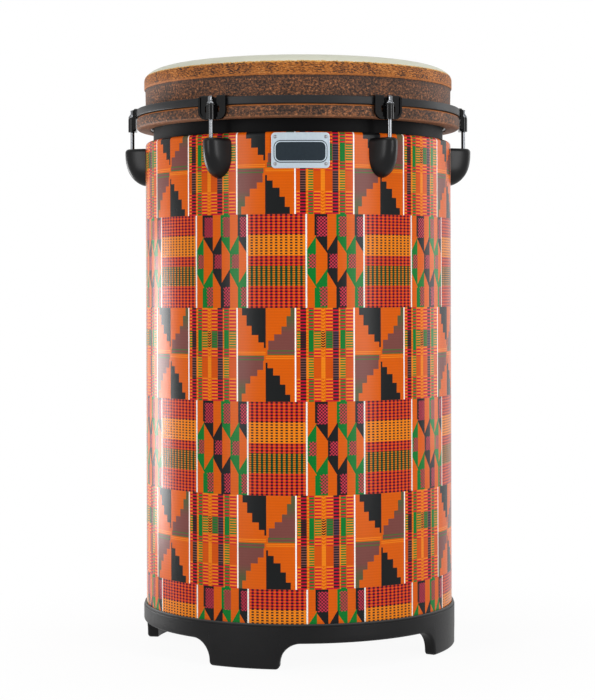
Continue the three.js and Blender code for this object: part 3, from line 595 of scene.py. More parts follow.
# The cloth print: the height of its rows, the width of its blocks in degrees, and the pitches of its weave.
# The blocks' own numbers are shares of a block's width, u, and of its height, v, measured in the photo.
PRINT_ROW = 96.5
PRINT_FIRST_ROW_TOP = SHELL_TOP + 11.5
PRINT_BLOCK = 20.9
BLOCK_WIDTH = 61.8
PRINT_TURN = 0.85
PRINT_START = 1.1
EVEN_ROW_SLIDE = 3.85
RIB_PITCH = 1.2
SHADE_PITCH = 2.9
WARP_PITCH = 0.9
ROPE_PITCH = 1.5
CHECK_CELL = 1.7
CHECK_TOOTH = 3.6
ORANGE = ink(209, 90, 4)
DEEP_ORANGE = ink(202, 79, 6)
AMBER = ink(229, 127, 20)
CRIMSON = ink(189, 6, 40)
BLACK = ink(20, 22, 23)
NAVY = ink(16, 26, 38)
GREEN = ink(5, 113, 40)
BROWN = ink(116, 66, 60)
OLIVE = ink(84, 84, 52)
MAROON = ink(74, 14, 30)
PLUM = ink(82, 54, 68)
WHITE = ink(250, 250, 246)
ROPE_GREY = ink(206, 204, 190)


def in_band(value, start, end):
    return (value > start) * (value < end)


def stripe_block(finish, u, v):
    """Columns of short dashes, with a green ladder over the middle and plain cloth below it."""
    v = v - v * (1.0 - v) * 0.02
    edges = (0.0, 0.023, 0.08, 0.178, 0.216, 0.304, 0.312, 0.426, 0.498, 0.506, 0.622, 0.628,
             0.727, 0.752, 0.845, 0.853, 0.977)

    def columns(*colours):
        return finish.ramp(u, list(zip(edges, colours)), "CONSTANT")

    o, d, a, c, k, n, g, m, p = ORANGE, DEEP_ORANGE, AMBER, CRIMSON, BLACK, NAVY, GREEN, MAROON, PLUM
    dash_ink = columns(o, c, k, a, g, o, c, a, o, c, o, n, a, g, o, c, o)
    dash_ground = columns(o, a, c, o, c, o, a, o, o, a, o, c, o, c, o, a, o)
    ladder_ink = columns(o, g, k, a, g, o, g, k, o, g, o, p, a, g, o, g, o)
    ladder_ground = columns(o, a, m, o, g, o, a, a, o, OLIVE, o, NAVY, o, g, o, a, o)
    plain_ink = columns(d, d, k, a, g, d, d, a, d, d, d, n, a, g, d, d, d)
    plain_ground = columns(d, d, BROWN, a, a, d, d, a, d, d, d, BROWN, a, a, d, d, d)
    late = 0.5 - 0.5 * (in_band(u, 0.08, 0.178).either(in_band(u, 0.628, 0.727)))
    zigzag = (u - 0.462).math("ABSOLUTE") * 14 * in_band(u, 0.426, 0.498)
    dashes = ((v * 28 + late + zigzag) % 1.0) < 0.52
    rungs = ((v * 37 + zigzag) % 1.0) < 0.55
    dashed = finish.mix(dashes, dash_ground, dash_ink)
    laddered = finish.mix(rungs, ladder_ground, ladder_ink)
    plain = finish.mix(rungs, plain_ground, plain_ink)
    long_green = in_band(u, 0.216, 0.304)
    short_green = in_band(u, 0.752, 0.845)
    ladder_end = 0.425 + long_green * 0.04 + short_green * 0.01
    lower = finish.mix(in_band(v, 0.53, 0.75), dashed, plain)
    return finish.mix((v > 0.245) * (v < ladder_end), lower, laddered)


def stair_block(finish, u, v):
    """Two black and two brown flights of steps, the lower pair the upper one turned half round."""
    v = v - v * (1.0 - v) * 0.02
    turned_over = v > 0.5
    us = finish.blend(turned_over, u, 1.0 - u)
    vs = finish.blend(turned_over, v, 1.0 - v)
    black_reach = finish.ramp(vs, [(0.0, 0.414), (0.075, 0.333), (0.184, 0.2445), (0.283, 0.1285),
                                   (0.361, 0.033), (0.418, 0.0)], "CONSTANT")
    brown_reach = finish.ramp(vs, [(0.0, 0.065), (0.084, 0.133), (0.193, 0.2175), (0.277, 0.34),
                                   (0.341, 0.44), (0.441, 0.456), (0.495, 0.0)], "CONSTANT")
    black = (us > 0.502 - black_reach) * (us < 0.502)
    brown = (us > 0.985 - brown_reach) * (us < 0.985)
    amber_lines = (in_band(vs, 0.462, 0.472).either(in_band(vs, 0.482, 0.49))) * (us < 0.5)
    ground = finish.mix(amber_lines, ORANGE, AMBER)
    green_lines = in_band(vs, 0.447, 0.458).either(in_band(vs, 0.484, 0.494)) * 0.7
    olive_share = finish.ramp(vs, [(0.12, 1.0), (0.26, 0.0)])
    flight = finish.mix(green_lines, finish.mix(olive_share, BROWN, OLIVE), GREEN)
    return finish.mix(black, finish.mix(brown, ground, flight), BLACK)


def dot_block(finish, u, v):
    """Eleven columns of black dashes over crimson and amber bands."""
    across = ((u - 0.08) / 0.0838 + 0.25) % 1.0
    column = across < 0.5
    amber_band = in_band(v, 0.216, 0.442)
    down = (finish.blend(amber_band, v * 30.0 - 0.06 - (v > 0.442) * 0.37, v * 34.2 - 0.15)) % 1.0
    row = down < 0.54
    thin_row = in_band(down, 0.08, 0.46)
    off_column = finish.mix(thin_row, ORANGE, CRIMSON)
    crimson = finish.mix(column, off_column, CRIMSON)
    ground = finish.mix(amber_band, crimson, AMBER)
    dashed = finish.mix(row * column, ground, BLACK)
    rung = ((v * 42.0) % 1.0) < 0.45
    between_columns = finish.mix(rung, ink(218, 116, 10), ink(92, 68, 16))
    in_columns = finish.mix(rung, ink(9, 78, 36), BLACK)
    laddered = finish.mix(column, between_columns, in_columns)
    return finish.mix(in_band(v, 0.55, 0.762), dashed, laddered)


def checker(finish, u, v, ground):
    """Small crimson diamonds on a darkened colour."""
    across = ((u * BLOCK_WIDTH / CHECK_CELL).math("FLOOR") + (v * PRINT_ROW / CHECK_CELL).math("FLOOR")) % 2.0
    return finish.mix(across, finish.mix(0.6, ground, BLACK), ink(196, 48, 74))


def ribbon_block(finish, u, v):
    """Three pairs of pointed ribbons, the middle pair black where its neighbours are green."""
    u = u - u * (1.0 - u) * 0.09
    p = (u * 3.0) % 1.0
    middle_pair = in_band(u, 1 / 3, 2 / 3)
    first_pair = u < 1 / 3
    first = finish.mix(middle_pair, BLACK, GREEN)
    second = finish.mix(middle_pair, GREEN, BLACK)
    boundary = 0.52 - 0.07 * ((v < 0.228).either(v > 0.785)) - 0.07 * first_pair
    right = p > boundary
    from_middle = (p - 0.47) / 0.53
    top_edge = 0.26 + from_middle * 0.16
    leaf_end = 0.745 - from_middle * 0.165
    left_share = p / 0.47
    upper_slant = 0.39 - left_share * 0.162
    lower_slant = 0.62 + left_share * 0.165
    ragged = ((v * PRINT_ROW / CHECK_TOOTH) % 1.0 < 0.5) * 0.05
    top_checker = (p + ragged + first_pair * 0.1 > 0.63) * in_band(v, 0.025, 0.24)
    low_checker = (p + ragged > 0.66) * in_band(v, 0.775, 0.983)
    mid_checker = (p + ragged > 0.14) * in_band(v, 0.426, 0.576)
    top_right = finish.mix(top_checker, first, checker(finish, u, v, first))
    low_right = finish.mix(low_checker, second, checker(finish, u, v, second))
    leaf_left = finish.mix(mid_checker, second, checker(finish, u, v, second))
    right_side = finish.mix(v < top_edge, finish.mix(v > leaf_end, ORANGE, low_right), top_right)
    left_side = finish.mix((v > upper_slant) * (v < lower_slant), ORANGE, leaf_left)
    return finish.mix(right, left_side, right_side)


def printed_cloth():
    finish = Finish("woven_strip_print")
    place, x, y, z = finish.place()
    degrees = x.math("ARCTAN2", -y) * (180 / math.pi)
    row = (PRINT_FIRST_ROW_TOP - z) / PRINT_ROW
    v = row % 1.0
    even_row = row.math("FLOOR") % 2.0
    slid = degrees + PRINT_TURN
    blocks = (slid + PRINT_START - even_row * EVEN_ROW_SLIDE) / PRINT_BLOCK
    u = blocks % 1.0
    second_kind = blocks.math("FLOOR") % 2.0
    odd = finish.mix(second_kind, stripe_block(finish, u, v), stair_block(finish, u, v))
    even = finish.mix(second_kind, ribbon_block(finish, u, v), dot_block(finish, u, v))
    along_degree = SHELL_RADIUS * math.pi / 180
    rib = (z * (2 * math.pi / RIB_PITCH)).math("SINE")
    thread = (degrees * (along_degree * 2 * math.pi / WARP_PITCH)).math("SINE")
    cloth = finish.mix(even_row, odd, even)
    edge = (u - 0.5).math("ABSOLUTE")
    line = edge > 0.4885 - even_row * 0.002
    rope = (((v * PRINT_ROW) / ROPE_PITCH + u * 10) % 1.0 < 0.35) * even_row
    cloth = finish.mix(line, cloth, finish.mix(rope, WHITE, ROPE_GREY))
    fade = finish.noise(place, 0.02, 3.0)
    rib_shade = (z * (2 * math.pi / SHADE_PITCH)).math("SINE")
    shade = 0.965 + rib * 0.04 + rib_shade * 0.035 + thread * 0.02 + (fade - 0.5) * 0.12
    tinted = finish.node("ShaderNodeVectorMath", {"operation": "SCALE"}, {0: cloth, "Scale": shade})
    scuffs = finish.noise(place, 0.35, 5.0, 0.6)
    return finish.done(
        Base_Color=tinted,
        Specular_IOR_Level=0.11,
        Roughness=finish.blend(scuffs, 0.22, 0.3),
        Normal=finish.bump(rib * 0.5 + thread * 0.5, 0.06, 0.1),
    )


# The radius at which an angle round the head becomes a length
AROUND_RADIUS = 170.0


def collar_film():
    """Plain pale film over the top, a streaked tan cuff below it, and a dark speckled collar and roll, with a
    painted shadow under the cuff's step and a painted highlight along the roll's top.
    """
    finish = Finish("head_film_and_collar")
    place, x, y, z = finish.place()
    turn = x.math("ARCTAN2", -y) * AROUND_RADIUS
    radius = (x * x + y * y).math("SQRT")
    cloud = finish.noise(place, 0.03, 4.0)
    film = finish.mix(cloud, ink(194, 195, 177), ink(208, 209, 191))
    streak_place = finish.vector(turn * 0.45 + z * 0.9, radius * 0.3, z * 1.4 - turn * 0.12)
    streaks = finish.noise(streak_place, 0.7, 3.0, 0.66)
    patches = finish.noise(place, 0.06, 2.0)
    fleck = finish.noise(place, 1.1, 2.0, 0.6)
    cuff = finish.ramp(streaks + (patches - 0.5) * 0.25, [
        (0.39, ink(34, 24, 20)), (0.46, ink(98, 58, 32)), (0.52, ink(160, 92, 32)),
        (0.6, ink(182, 110, 44)), (0.7, ink(198, 146, 90))])
    collar_place = finish.vector(turn * 0.8, radius, z)
    grain = finish.noise(collar_place, 0.46, 4.0, 0.75)
    collar = finish.ramp(grain + (patches - 0.5) * 0.2, [
        (0.37, ink(26, 20, 18)), (0.46, ink(62, 43, 33)), (0.53, ink(94, 63, 45)),
        (0.6, ink(138, 82, 46)), (0.69, ink(182, 134, 98))])
    ragged = (fleck - 0.5) * 2.4 + (streaks - 0.5) * 3.0
    covered = (z + ragged) > FILM_EDGE
    above_cuff = z > CUFF_BOTTOM
    edge_line = in_band(z, CUFF_BOTTOM - 0.4, CUFF_BOTTOM + 2.0) * 0.55
    seam = (z + ragged > FILM_EDGE - 1.1) * 0.75
    tan_cuff = finish.mix(seam, finish.mix(edge_line, cuff, ink(176, 104, 48)), ink(216, 164, 84))
    # Painted highlight: a lighter orange line along the top of the rounded roll, just under the counterhoop
    painted_highlight_roll_top = in_band(z + (fleck - 0.5) * 1.2, SKIRT_TOP - 1.6, SKIRT_TOP + 0.4) * 0.8
    roll_low = (z + (fleck - 0.5) * 5.0 < SKIRT_BOTTOM + 1.6) * 0.4
    # Painted shadow: a dark band on the collar just under the cuff's overhanging step
    painted_shadow_under_cuff = in_band(z, CUFF_BOTTOM - 2.6, CUFF_BOTTOM - 0.4) * 0.5
    roll = finish.mix(roll_low, finish.mix(painted_highlight_roll_top, collar, ink(190, 112, 56)), ink(160, 110, 78))
    # dark is the roll and collar with the painted shadow under the cuff mixed in
    dark = finish.mix(painted_shadow_under_cuff, roll, ink(44, 34, 30))
    colour = finish.mix(covered, finish.mix(above_cuff, dark, tan_cuff), film)
    rough = finish.blend(covered, 0.62, 0.42)
    return finish.done(
        Base_Color=colour,
        Roughness=rough,
        Specular_IOR_Level=0.2,
        Normal=finish.bump(finish.blend(covered, grain, cloud), 0.25, 0.25),
    )


PRINT = printed_cloth()
HEAD_FILM = collar_film()


# Shell
def shoulder(inset):
    centre = (SHELL_RADIUS - SHOULDER_RADIUS, SHELL_TOP - SHOULDER_RADIUS)
    return arc(centre, SHOULDER_RADIUS - inset, 0, 90, 8)


def printed_shell():
    wrap = turned("printed_shell", [
        (SHELL_RADIUS - PRINT_THICKNESS, SHELL_BOTTOM),
        (SHELL_RADIUS, SHELL_BOTTOM),
        *shoulder(0),
        (SHELL_BORE, SHELL_TOP),
        (SHELL_BORE, SHELL_TOP - PRINT_THICKNESS),
        *reversed(shoulder(PRINT_THICKNESS)),
    ], PRINT, 256)
    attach(wrap, "shell")
    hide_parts("print_wrap")


def shell_board():
    inset = PRINT_THICKNESS + SEAT
    tube = turned("shell_board_tube", [
        (SHELL_BORE, SHELL_BOTTOM),
        (TUBE_RADIUS, SHELL_BOTTOM),
        *shoulder(inset),
        (SHELL_BORE, SHELL_TOP - inset),
    ], SHELL_BOARD)
    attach(tube, "shell")
    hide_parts("shell_tube")


# Neck and head
def head_shoulder(inset, steps=18):
    """Points of the head's rounded shoulder, from its flat middle outwards."""
    points = []
    for i in range(steps + 1):
        turn = QUARTER * i / steps
        across = math.sin(turn) ** (2 / HEAD_SHOULDER_POWER)
        up = math.cos(turn) ** (2 / HEAD_SHOULDER_POWER) if i < steps else 0.0
        radius = CUFF_RADIUS - HEAD_SHOULDER_WIDTH + (HEAD_SHOULDER_WIDTH - inset) * across
        points.append((radius, HEAD_TOP - HEAD_SHOULDER_DROP + (HEAD_SHOULDER_DROP - inset) * up))
    return points


def neck():
    bore = NECK_RADIUS - NECK_WALL
    ease = (1.0, 3)
    section = eased(bore, NECK_RADIUS, NECK_BOTTOM, NECK_TOP, ease, ease, (BEARING_EDGE_ROUND, 8), ease)
    ring = turned("neck_with_bearing_edge", section, NECK_BLACK)
    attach(ring, "shell")
    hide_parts("neck_ring")


def head():
    """The film: over the neck, down behind the counterhoop, and round the flesh hoop."""
    roll = SKIRT_RADIUS - SKIRT_ROUND
    hem = NECK_RADIUS + HEM_OFFSET
    step = CUFF_RADIUS - CUFF_STEP
    collar_foot = (COLLAR_RADIUS + COLLAR_FOOT_ROUND, SKIRT_TOP + COLLAR_FOOT_ROUND)
    flat = (0, 40, 80, 115, 140)
    outside = [
        *[(r, HEAD_TOP) for r in flat],
        *head_shoulder(0),
        (CUFF_RADIUS, CUFF_BOTTOM + CUFF_STRAIGHT),
        (CUFF_RADIUS, CUFF_BOTTOM + 0.7),
        (CUFF_RADIUS - 0.35, CUFF_BOTTOM + 0.1),
        (step + 0.2, CUFF_BOTTOM - 0.25),
        (step, CUFF_BOTTOM - 0.9),
        *[(COLLAR_RADIUS + (step - COLLAR_RADIUS) * t, COLLAR_BLEND_TOP - (1 - t) * COLLAR_BLEND)
          for t in (0.8, 0.6, 0.4, 0.2)],
        *arc(collar_foot, COLLAR_FOOT_ROUND, 180, 270, 6),
        *arc((roll, SKIRT_TOP - SKIRT_ROUND), SKIRT_ROUND, 90, 0, 6),
        *arc((roll, SKIRT_BOTTOM + SKIRT_ROUND), SKIRT_ROUND, 0, -90, 6),
        (hem, SKIRT_BOTTOM),
    ]
    inner = SKIRT_ROUND - FILM
    inside = [
        (hem, SKIRT_BOTTOM + FILM),
        *arc((roll, SKIRT_BOTTOM + SKIRT_ROUND), inner, -90, 0, 4),
        *arc((roll, SKIRT_TOP - SKIRT_ROUND), inner, 0, 90, 4),
        *arc(collar_foot, COLLAR_FOOT_ROUND + FILM, 270, 180, 6),
        (step - FILM, CUFF_BOTTOM - 0.9),
        (step - FILM, CUFF_BOTTOM + CUFF_STRAIGHT),
        *reversed(head_shoulder(step - CUFF_RADIUS + FILM + 2.6)),
        *[(r, HEAD_TOP - FILM - SEAT) for r in reversed(flat)],
    ]
    film = turned("head_film_and_collar", outside + inside, HEAD_FILM)
    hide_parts("drumhead", "head_skirt")
    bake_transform(film)


def flesh_hoop():
    bore = NECK_RADIUS + FLESH_HOOP_GAP
    lip, back = (1.3, 5), (2.0, 3)
    section = eased(bore, FLESH_RADIUS, FLESH_BOTTOM, FLESH_TOP, lip, back, back, lip)
    ring = turned("flesh_hoop_ring", section, FLESH_METAL)
    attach(ring, "hoop")
    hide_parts("flesh_hoop")


def counterhoop():
    bore = COUNTERHOOP_RADIUS - COUNTERHOOP_THICKNESS
    corners = (0.9, 3), (0.9, 4), (0.9, 4), (0.9, 3)
    section = eased(bore, COUNTERHOOP_RADIUS, COUNTERHOOP_BOTTOM, COUNTERHOOP_TOP, *corners)
    ring = turned("counterhoop_ring", section, HOOP_STEEL)
    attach(ring, "hoop")
    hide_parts("counterhoop")


# Foot ring and bass port
def foot_edge():
    """The lower edge of the foot ring over one foot and the gap after it: arc length along the outside,
    height, and the direction into the rubber."""
    pitch = 2 * math.pi * (SHELL_RADIUS + RING_THICKNESS) / FOOT_COUNT
    half = FOOT_WIDTH / 2
    fillet = FOOT_HEIGHT - FOOT_CORNER
    corner = [(half - FOOT_CORNER + FOOT_CORNER * math.sin(t), FOOT_CORNER * (1 - math.cos(t)),
               -math.sin(t), math.cos(t)) for t in (QUARTER * i / 7 for i in range(8))]
    web = [(half + fillet * (1 - math.cos(t)), FOOT_CORNER + fillet * math.sin(t), -math.cos(t), math.sin(t))
           for t in (QUARTER * i / 18 for i in range(1, 19))]
    span = pitch / 2 - half - fillet
    flat = [((half - FOOT_CORNER) * i / 8, 0.0, 0.0, 1.0) for i in range(8)]
    arch = [(half + fillet + span * i / 10, FOOT_HEIGHT, 0.0, 1.0) for i in range(1, 11)]
    rise = flat + corner + web + arch
    fall = [(pitch - along, height, -across, up) for along, height, across, up in reversed(rise[1:-1])]
    return rise + fall


def foot_ring():
    bore = SHELL_RADIUS - RING_REACH
    outside = SHELL_RADIUS + RING_THICKNESS
    seat = SHELL_RADIUS + SEAT
    ledge = FOOT_HEIGHT + RING_LEDGE
    lip = outside - RING_LIP_STEP
    upper = [
        *[(outside, RING_TOP - z) for z in (12.0, 5.2, 4.0)],
        *arc((outside - 0.5, RING_TOP - 3.5), 0.5, 0, 90, 3),
        (lip, RING_TOP - 2.9),
        (lip, RING_TOP - 1.0),
        *arc((lip - 0.8, RING_TOP - 0.8), 0.8, 0, 90, 3),
        (seat, RING_TOP),
        (seat, ledge),
        (bore + 0.6, ledge),
        (bore, ledge - 0.6),
        (bore, ledge - 3.0),
    ]
    lower = [
        *arc((bore + RING_INNER_ROUND, RING_INNER_ROUND), RING_INNER_ROUND, 180, 270, 5),
        ((bore + outside) / 2, 0.0),
        *arc((outside - RING_OUTER_ROUND, RING_OUTER_ROUND), RING_OUTER_ROUND, 270, 360, 5),
    ]
    rings = []
    for foot in range(FOOT_COUNT):
        start = FIRST_FOOT_ANGLE + foot * 2 * math.pi / FOOT_COUNT
        for along, height, across, up in foot_edge():
            section = [polar(radius, start + (along + across * depth) / outside, height + up * depth)
                       for radius, depth in lower]
            rings.append(section + [polar(radius, start + along / outside, z) for radius, z in upper])
    ring = lofted("foot_ring_moulding", rings, FOOT_RUBBER, closed=True)
    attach(ring, "shell")
    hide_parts("foot_ring")


def bass_port():
    section = rectangle(BASS_RADIUS + SEAT, SHELL_BORE - SEAT, BAFFLE_BOTTOM, BAFFLE_TOP)
    board = turned("baffle_board", section, SHELL_BOARD)
    section = eased(BASS_RADIUS - BASS_WALL, BASS_RADIUS, BAFFLE_BOTTOM, BASS_TOP, *[(0.8, 3)] * 4)
    tube = turned("bass_port_tube", section, SHELL_BOARD, 128)
    for piece, node in ((board, "bottom_baffle"), (tube, "bass_tube")):
        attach(piece, "shell")
        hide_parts(node)


# Tuning stations, made at the front and then set round the drum
def extruded(name, outlines, front, depth, finish):
    """Outlines in x and z, the first one filled and the others cut out of it, made into a plate whose front
    face stands at a distance in front of the drum's axis."""
    curve = bpy.data.curves.new(name, "CURVE")
    curve.dimensions = "2D"
    curve.fill_mode = "BOTH"
    curve.extrude = depth / 2 * MM
    for outline in outlines:
        spline = curve.splines.new("POLY")
        spline.points.add(len(outline) - 1)
        for point, (x, z) in zip(spline.points, outline):
            point.co = (x * MM, z * MM, 0, 1)
        spline.use_cyclic_u = True
    flat = bpy.data.objects.new(name, curve)
    bpy.context.scene.collection.objects.link(flat)
    mesh = bpy.data.meshes.new_from_object(flat)
    bpy.data.objects.remove(flat)
    mesh.transform(Matrix.Translation((0, -(front - depth / 2) * MM, 0)) @ Matrix.Rotation(QUARTER, 4, "X"))
    return dress(name, mesh, finish)


def swept_across(name, section, low_x, high_x, finish):
    """A section in distance from the drum's axis and height, extruded between two values of x."""
    return lofted(name, [[(x, -r, z) for r, z in section] for x in (low_x, high_x)], finish)


def rod_ring(radius_at, height):
    """Points round a rod's own line, their radius given for each turn."""
    turns = [2 * math.pi * i / PIN_STEPS for i in range(PIN_STEPS)]
    return [(radius_at(t) * math.cos(t), -ROD_CIRCLE + radius_at(t) * math.sin(t), height) for t in turns]


def upright_pin(name, radius, bottom, top, finish):
    """A plain pin on a rod's own line."""
    turns = [2 * math.pi * i / PIN_STEPS for i in range(PIN_STEPS)]
    return lofted(name, [[(radius * math.sin(t), -ROD_CIRCLE - radius * math.cos(t), z) for t in turns]
                         for z in (bottom, top)], finish)


def bevelled(piece, width, segments=2):
    bevel = piece.modifiers.new("eased_edges", "BEVEL")
    bevel.width = width * MM
    bevel.segments = segments
    bevel.limit_method = "ANGLE"
    bevel.angle_limit = math.radians(40)
    return dressed_again(settled(piece), piece.name, 38)


def shield(inset, top):
    """Outline of a clip, from its upper left corner, with the inset taken off its sides and lower end."""
    half = CLIP_WIDTH / 2 - inset
    corner = CLIP_CORNER - inset
    bottom = CLIP_BOTTOM + inset
    return [
        (-half, top),
        *arc((corner - half, bottom + corner), corner, 180, 270, 10),
        *arc((half - corner, bottom + corner), corner, 270, 360, 10),
        (half, top),
    ]


def slot_outline(x, bottom, top, radius):
    return [*arc((x, top - radius), radius, 0, 180, 8), *arc((x, bottom + radius), radius, 180, 360, 8)]


def hoop_clips():
    back = COUNTERHOOP_RADIUS + SEAT
    front = back + CLIP_PLATE
    under = COUNTERHOOP_TOP + SEAT
    hook_inner = COLLAR_RADIUS + HOOK_COLLAR_GAP
    root = under - 0.2
    sleeve_top = COUNTERHOOP_BOTTOM - SLEEVE_DROP
    notch = ROD_FLANGE_RADIUS + NOTCH_ROOM
    window_top = COUNTERHOOP_BOTTOM - WINDOW_DROP
    windows = [slot_outline(side * WINDOW_OFFSET, window_top - WINDOW_HEIGHT, window_top, WINDOW_ROUND)
               for side in (-1, 1)]
    plate = extruded("clip_plate", [shield(0, root), *windows], front, CLIP_PLATE, CLIP_BLACK)
    rim = extruded("clip_rim", [shield(0, root) + list(reversed(shield(CLIP_RIM_WIDTH, root)))],
                   front + CLIP_RIM, CLIP_RIM + 0.6, CLIP_BLACK)
    sleeve = upright_pin("clip_sleeve", SLEEVE_RADIUS, CLIP_BOTTOM, sleeve_top, CLIP_BLACK)
    behind = extruded("behind_plate", [rectangle(-20, 20, CLIP_BOTTOM - 5, CLIP_TOP + 5)],
                      back, 20, CLIP_BLACK)
    joined(sleeve, [behind], "DIFFERENCE")
    section = [
        (front, under - CLIP_BEND),
        *arc((front - CLIP_BEND, CLIP_TOP - CLIP_BEND), CLIP_BEND, 0, 90, 5),
        *arc((hook_inner + HOOK_ROUND, CLIP_TOP - HOOK_ROUND), HOOK_ROUND, 90, 180, 4),
        (hook_inner, under - HOOK_REACH),
        (hook_inner + HOOK_THICKNESS, under - HOOK_REACH),
        (hook_inner + HOOK_THICKNESS, under),
        (back, under),
        (back, under - CLIP_BEND),
    ]
    ears = swept_across("clip_ears", section, -CLIP_WIDTH / 2, CLIP_WIDTH / 2, CLIP_BLACK)
    key_room = extruded("key_room", [rectangle(-notch, notch, sleeve_top, CLIP_TOP + 5)],
                        CUTTER_FRONT, CUTTER_DEPTH, CLIP_BLACK)
    low_end = CLIP_BOTTOM - CUTTER_MARGIN
    bore = upright_pin("clip_bore", ROD_BORE, low_end, sleeve_top + CUTTER_MARGIN, CLIP_BLACK)
    half = CLIP_WIDTH / 2
    wide = half + CUTTER_MARGIN
    mask = extruded("clip_mask", [[
        (-wide, low_end), (wide, low_end), (wide, COUNTERHOOP_BOTTOM), (half, COUNTERHOOP_BOTTOM),
        *arc((half - EAR_CORNER, CLIP_TOP - EAR_CORNER), EAR_CORNER, 0, 90, 8),
        *arc((EAR_CORNER - half, CLIP_TOP - EAR_CORNER), EAR_CORNER, 90, 180, 8),
        (-half, COUNTERHOOP_BOTTOM), (-wide, COUNTERHOOP_BOTTOM),
    ]], CUTTER_FRONT, CUTTER_DEPTH, CLIP_BLACK)
    clip = joined(plate, [rim, sleeve, ears], "UNION")
    clip = joined(clip, [key_room, bore], "DIFFERENCE")
    clip = joined(clip, [mask], "INTERSECT")
    clip = bevelled(clip, 0.35, 3)
    clip.name = "hoop_clip_plates"
    round_the_drum(clip)
    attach(clip, "hoop")
    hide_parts(*[f"hoop_clip_{i}" for i in range(1, 7)])


def key_ring(half, power, height):
    """Points of a rod's section, from round, with a power of 2, to a square with soft corners."""
    def radius(turn):
        c, s = abs(math.cos(turn)), abs(math.sin(turn))
        return half / (c ** power + s ** power) ** (1 / power)

    return rod_ring(radius, height)


def thread_ring(height, fade):
    """Points of the thread's section, cut less deep as the fade goes to nought."""
    def radius(turn):
        wave = 0.5 - 0.5 * math.cos(2 * math.pi * (height / THREAD_PITCH) - turn)
        return ROD_RADIUS - THREAD_DEPTH * wave * fade

    return rod_ring(radius, height)


def rod_rings():
    """A rod's rings of points, from its tip to the crown of its key head."""
    seat = WASHER_TOP + SEAT
    rings = [key_ring(0.6, 2, ROD_TIP), key_ring(ROD_RADIUS - 0.9, 2, ROD_TIP)]
    levels = int(THREAD_LENGTH / THREAD_PITCH * 6)
    for j in range(levels + 1):
        rings.append(thread_ring(ROD_TIP + 0.6 + THREAD_LENGTH * j / levels, min(1.0, (levels - j) / 9)))
    flange = seat + ROD_FLANGE_HEIGHT
    profile = [
        (SHANK_RADIUS, 2, ROD_TIP + THREAD_LENGTH + 1.6), (SHANK_RADIUS, 2, seat - 0.4),
        (ROD_RADIUS, 2, seat),
        (ROD_FLANGE_RADIUS - 0.3, 2, seat), (ROD_FLANGE_RADIUS, 2, seat + 0.25),
        (ROD_FLANGE_RADIUS, 2, flange - 0.2), (ROD_FLANGE_RADIUS - 0.15, 2, flange + 0.1),
        (4.0, 2.05, flange + 0.6), (3.4, 2.3, flange + 1.3), (2.8, 3.0, flange + 2.1),
        (ROD_HEAD_HALF + 0.05, 5, flange + 2.8), (ROD_HEAD_HALF, 8, flange + 3.3),
        (ROD_HEAD_HALF, 8, ROD_TOP - 1.9), (ROD_HEAD_HALF - 0.15, 6, ROD_TOP - 1.2),
        (ROD_HEAD_HALF - 0.5, 4, ROD_TOP - 0.6), (1.3, 3, ROD_TOP - 0.2), (0.5, 2, ROD_TOP),
    ]
    return rings + [key_ring(*row) for row in profile]


def tension_rods():
    rings = rod_rings()
    for i in range(STATION_COUNT):
        rod = lofted(f"threaded_rod_{i + 1}", rings, ROD_CHROME)
        round_the_drum(rod, 1, FIRST_STATION + i * STATION_STEP)
        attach(rod, f"rod_{i + 1}")
        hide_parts(f"tension_rod_{i + 1}")


def rod_washers():
    section = eased(ROD_BORE, WASHER_RADIUS, WASHER_BOTTOM, WASHER_TOP, *[(0.25, 2)] * 4)
    washer = turned("rod_washers", section, WASHER_NYLON, PIN_STEPS, (0, -ROD_CIRCLE))
    round_the_drum(washer)
    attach(washer, "hoop")
    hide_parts(*[f"rod_washer_{i}" for i in range(1, 7)])


def lug_section(share, steps=28):
    """A lug's section at a share of its height from the top, its back along the shell."""
    back = SHELL_RADIUS + SEAT
    drop = share * LUG_HEIGHT
    into_round = max(0.0, LUG_TOP_ROUND - drop)
    inset = LUG_TOP_ROUND - math.sqrt(LUG_TOP_ROUND ** 2 - into_round ** 2)
    reach = (LUG_FRONT - back) * (1 - share ** 3) ** 0.66 - inset
    half = LUG_WIDTH / 2 * (1 - share ** 4.6) ** 0.55 + 0.5 * math.sin(math.pi * share) - inset
    height = LUG_TOP - drop
    points = []
    for i in range(steps + 1):
        across = math.cos(math.pi * i / steps)
        points.append((half * across, reach * (1 - abs(across) ** 2.5)))
    points += [(-half + 2 * half * i / 8, 0.0) for i in range(1, 8)]
    return [(x, -(math.sqrt(back ** 2 - x ** 2) + depth), height) for x, depth in points]


def tuning_lugs():
    shares = [LUG_TOP_ROUND / LUG_HEIGHT * (1 - math.cos(QUARTER * i / 8)) for i in range(9)]
    start = shares[-1]
    shares += [start + (0.995 - start) * math.sin(QUARTER * i / 26) for i in range(1, 27)]
    lug = lofted("tuning_lugs", [lug_section(share) for share in shares], LUG_BLACK)
    bore = upright_pin("lug_bore", ROD_BORE, ROD_TIP - 4.0, LUG_TOP + CUTTER_MARGIN, LUG_BLACK)
    joined(lug, [bore], "DIFFERENCE")
    lug = dressed_again(lug, lug.name, 40)
    round_the_drum(lug)
    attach(lug, "shell")
    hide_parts(*[f"tuning_lug_{i}" for i in range(1, 7)])


# Badge
def rounded_outline(half_width, half_height, corner, middle):
    points = []
    for x, z, start in ((1, -1, 270), (1, 1, 0), (-1, 1, 90), (-1, -1, 180)):
        centre = (x * (half_width - corner), middle + z * (half_height - corner))
        points += arc(centre, corner, start, start + 90, 6)
    return points


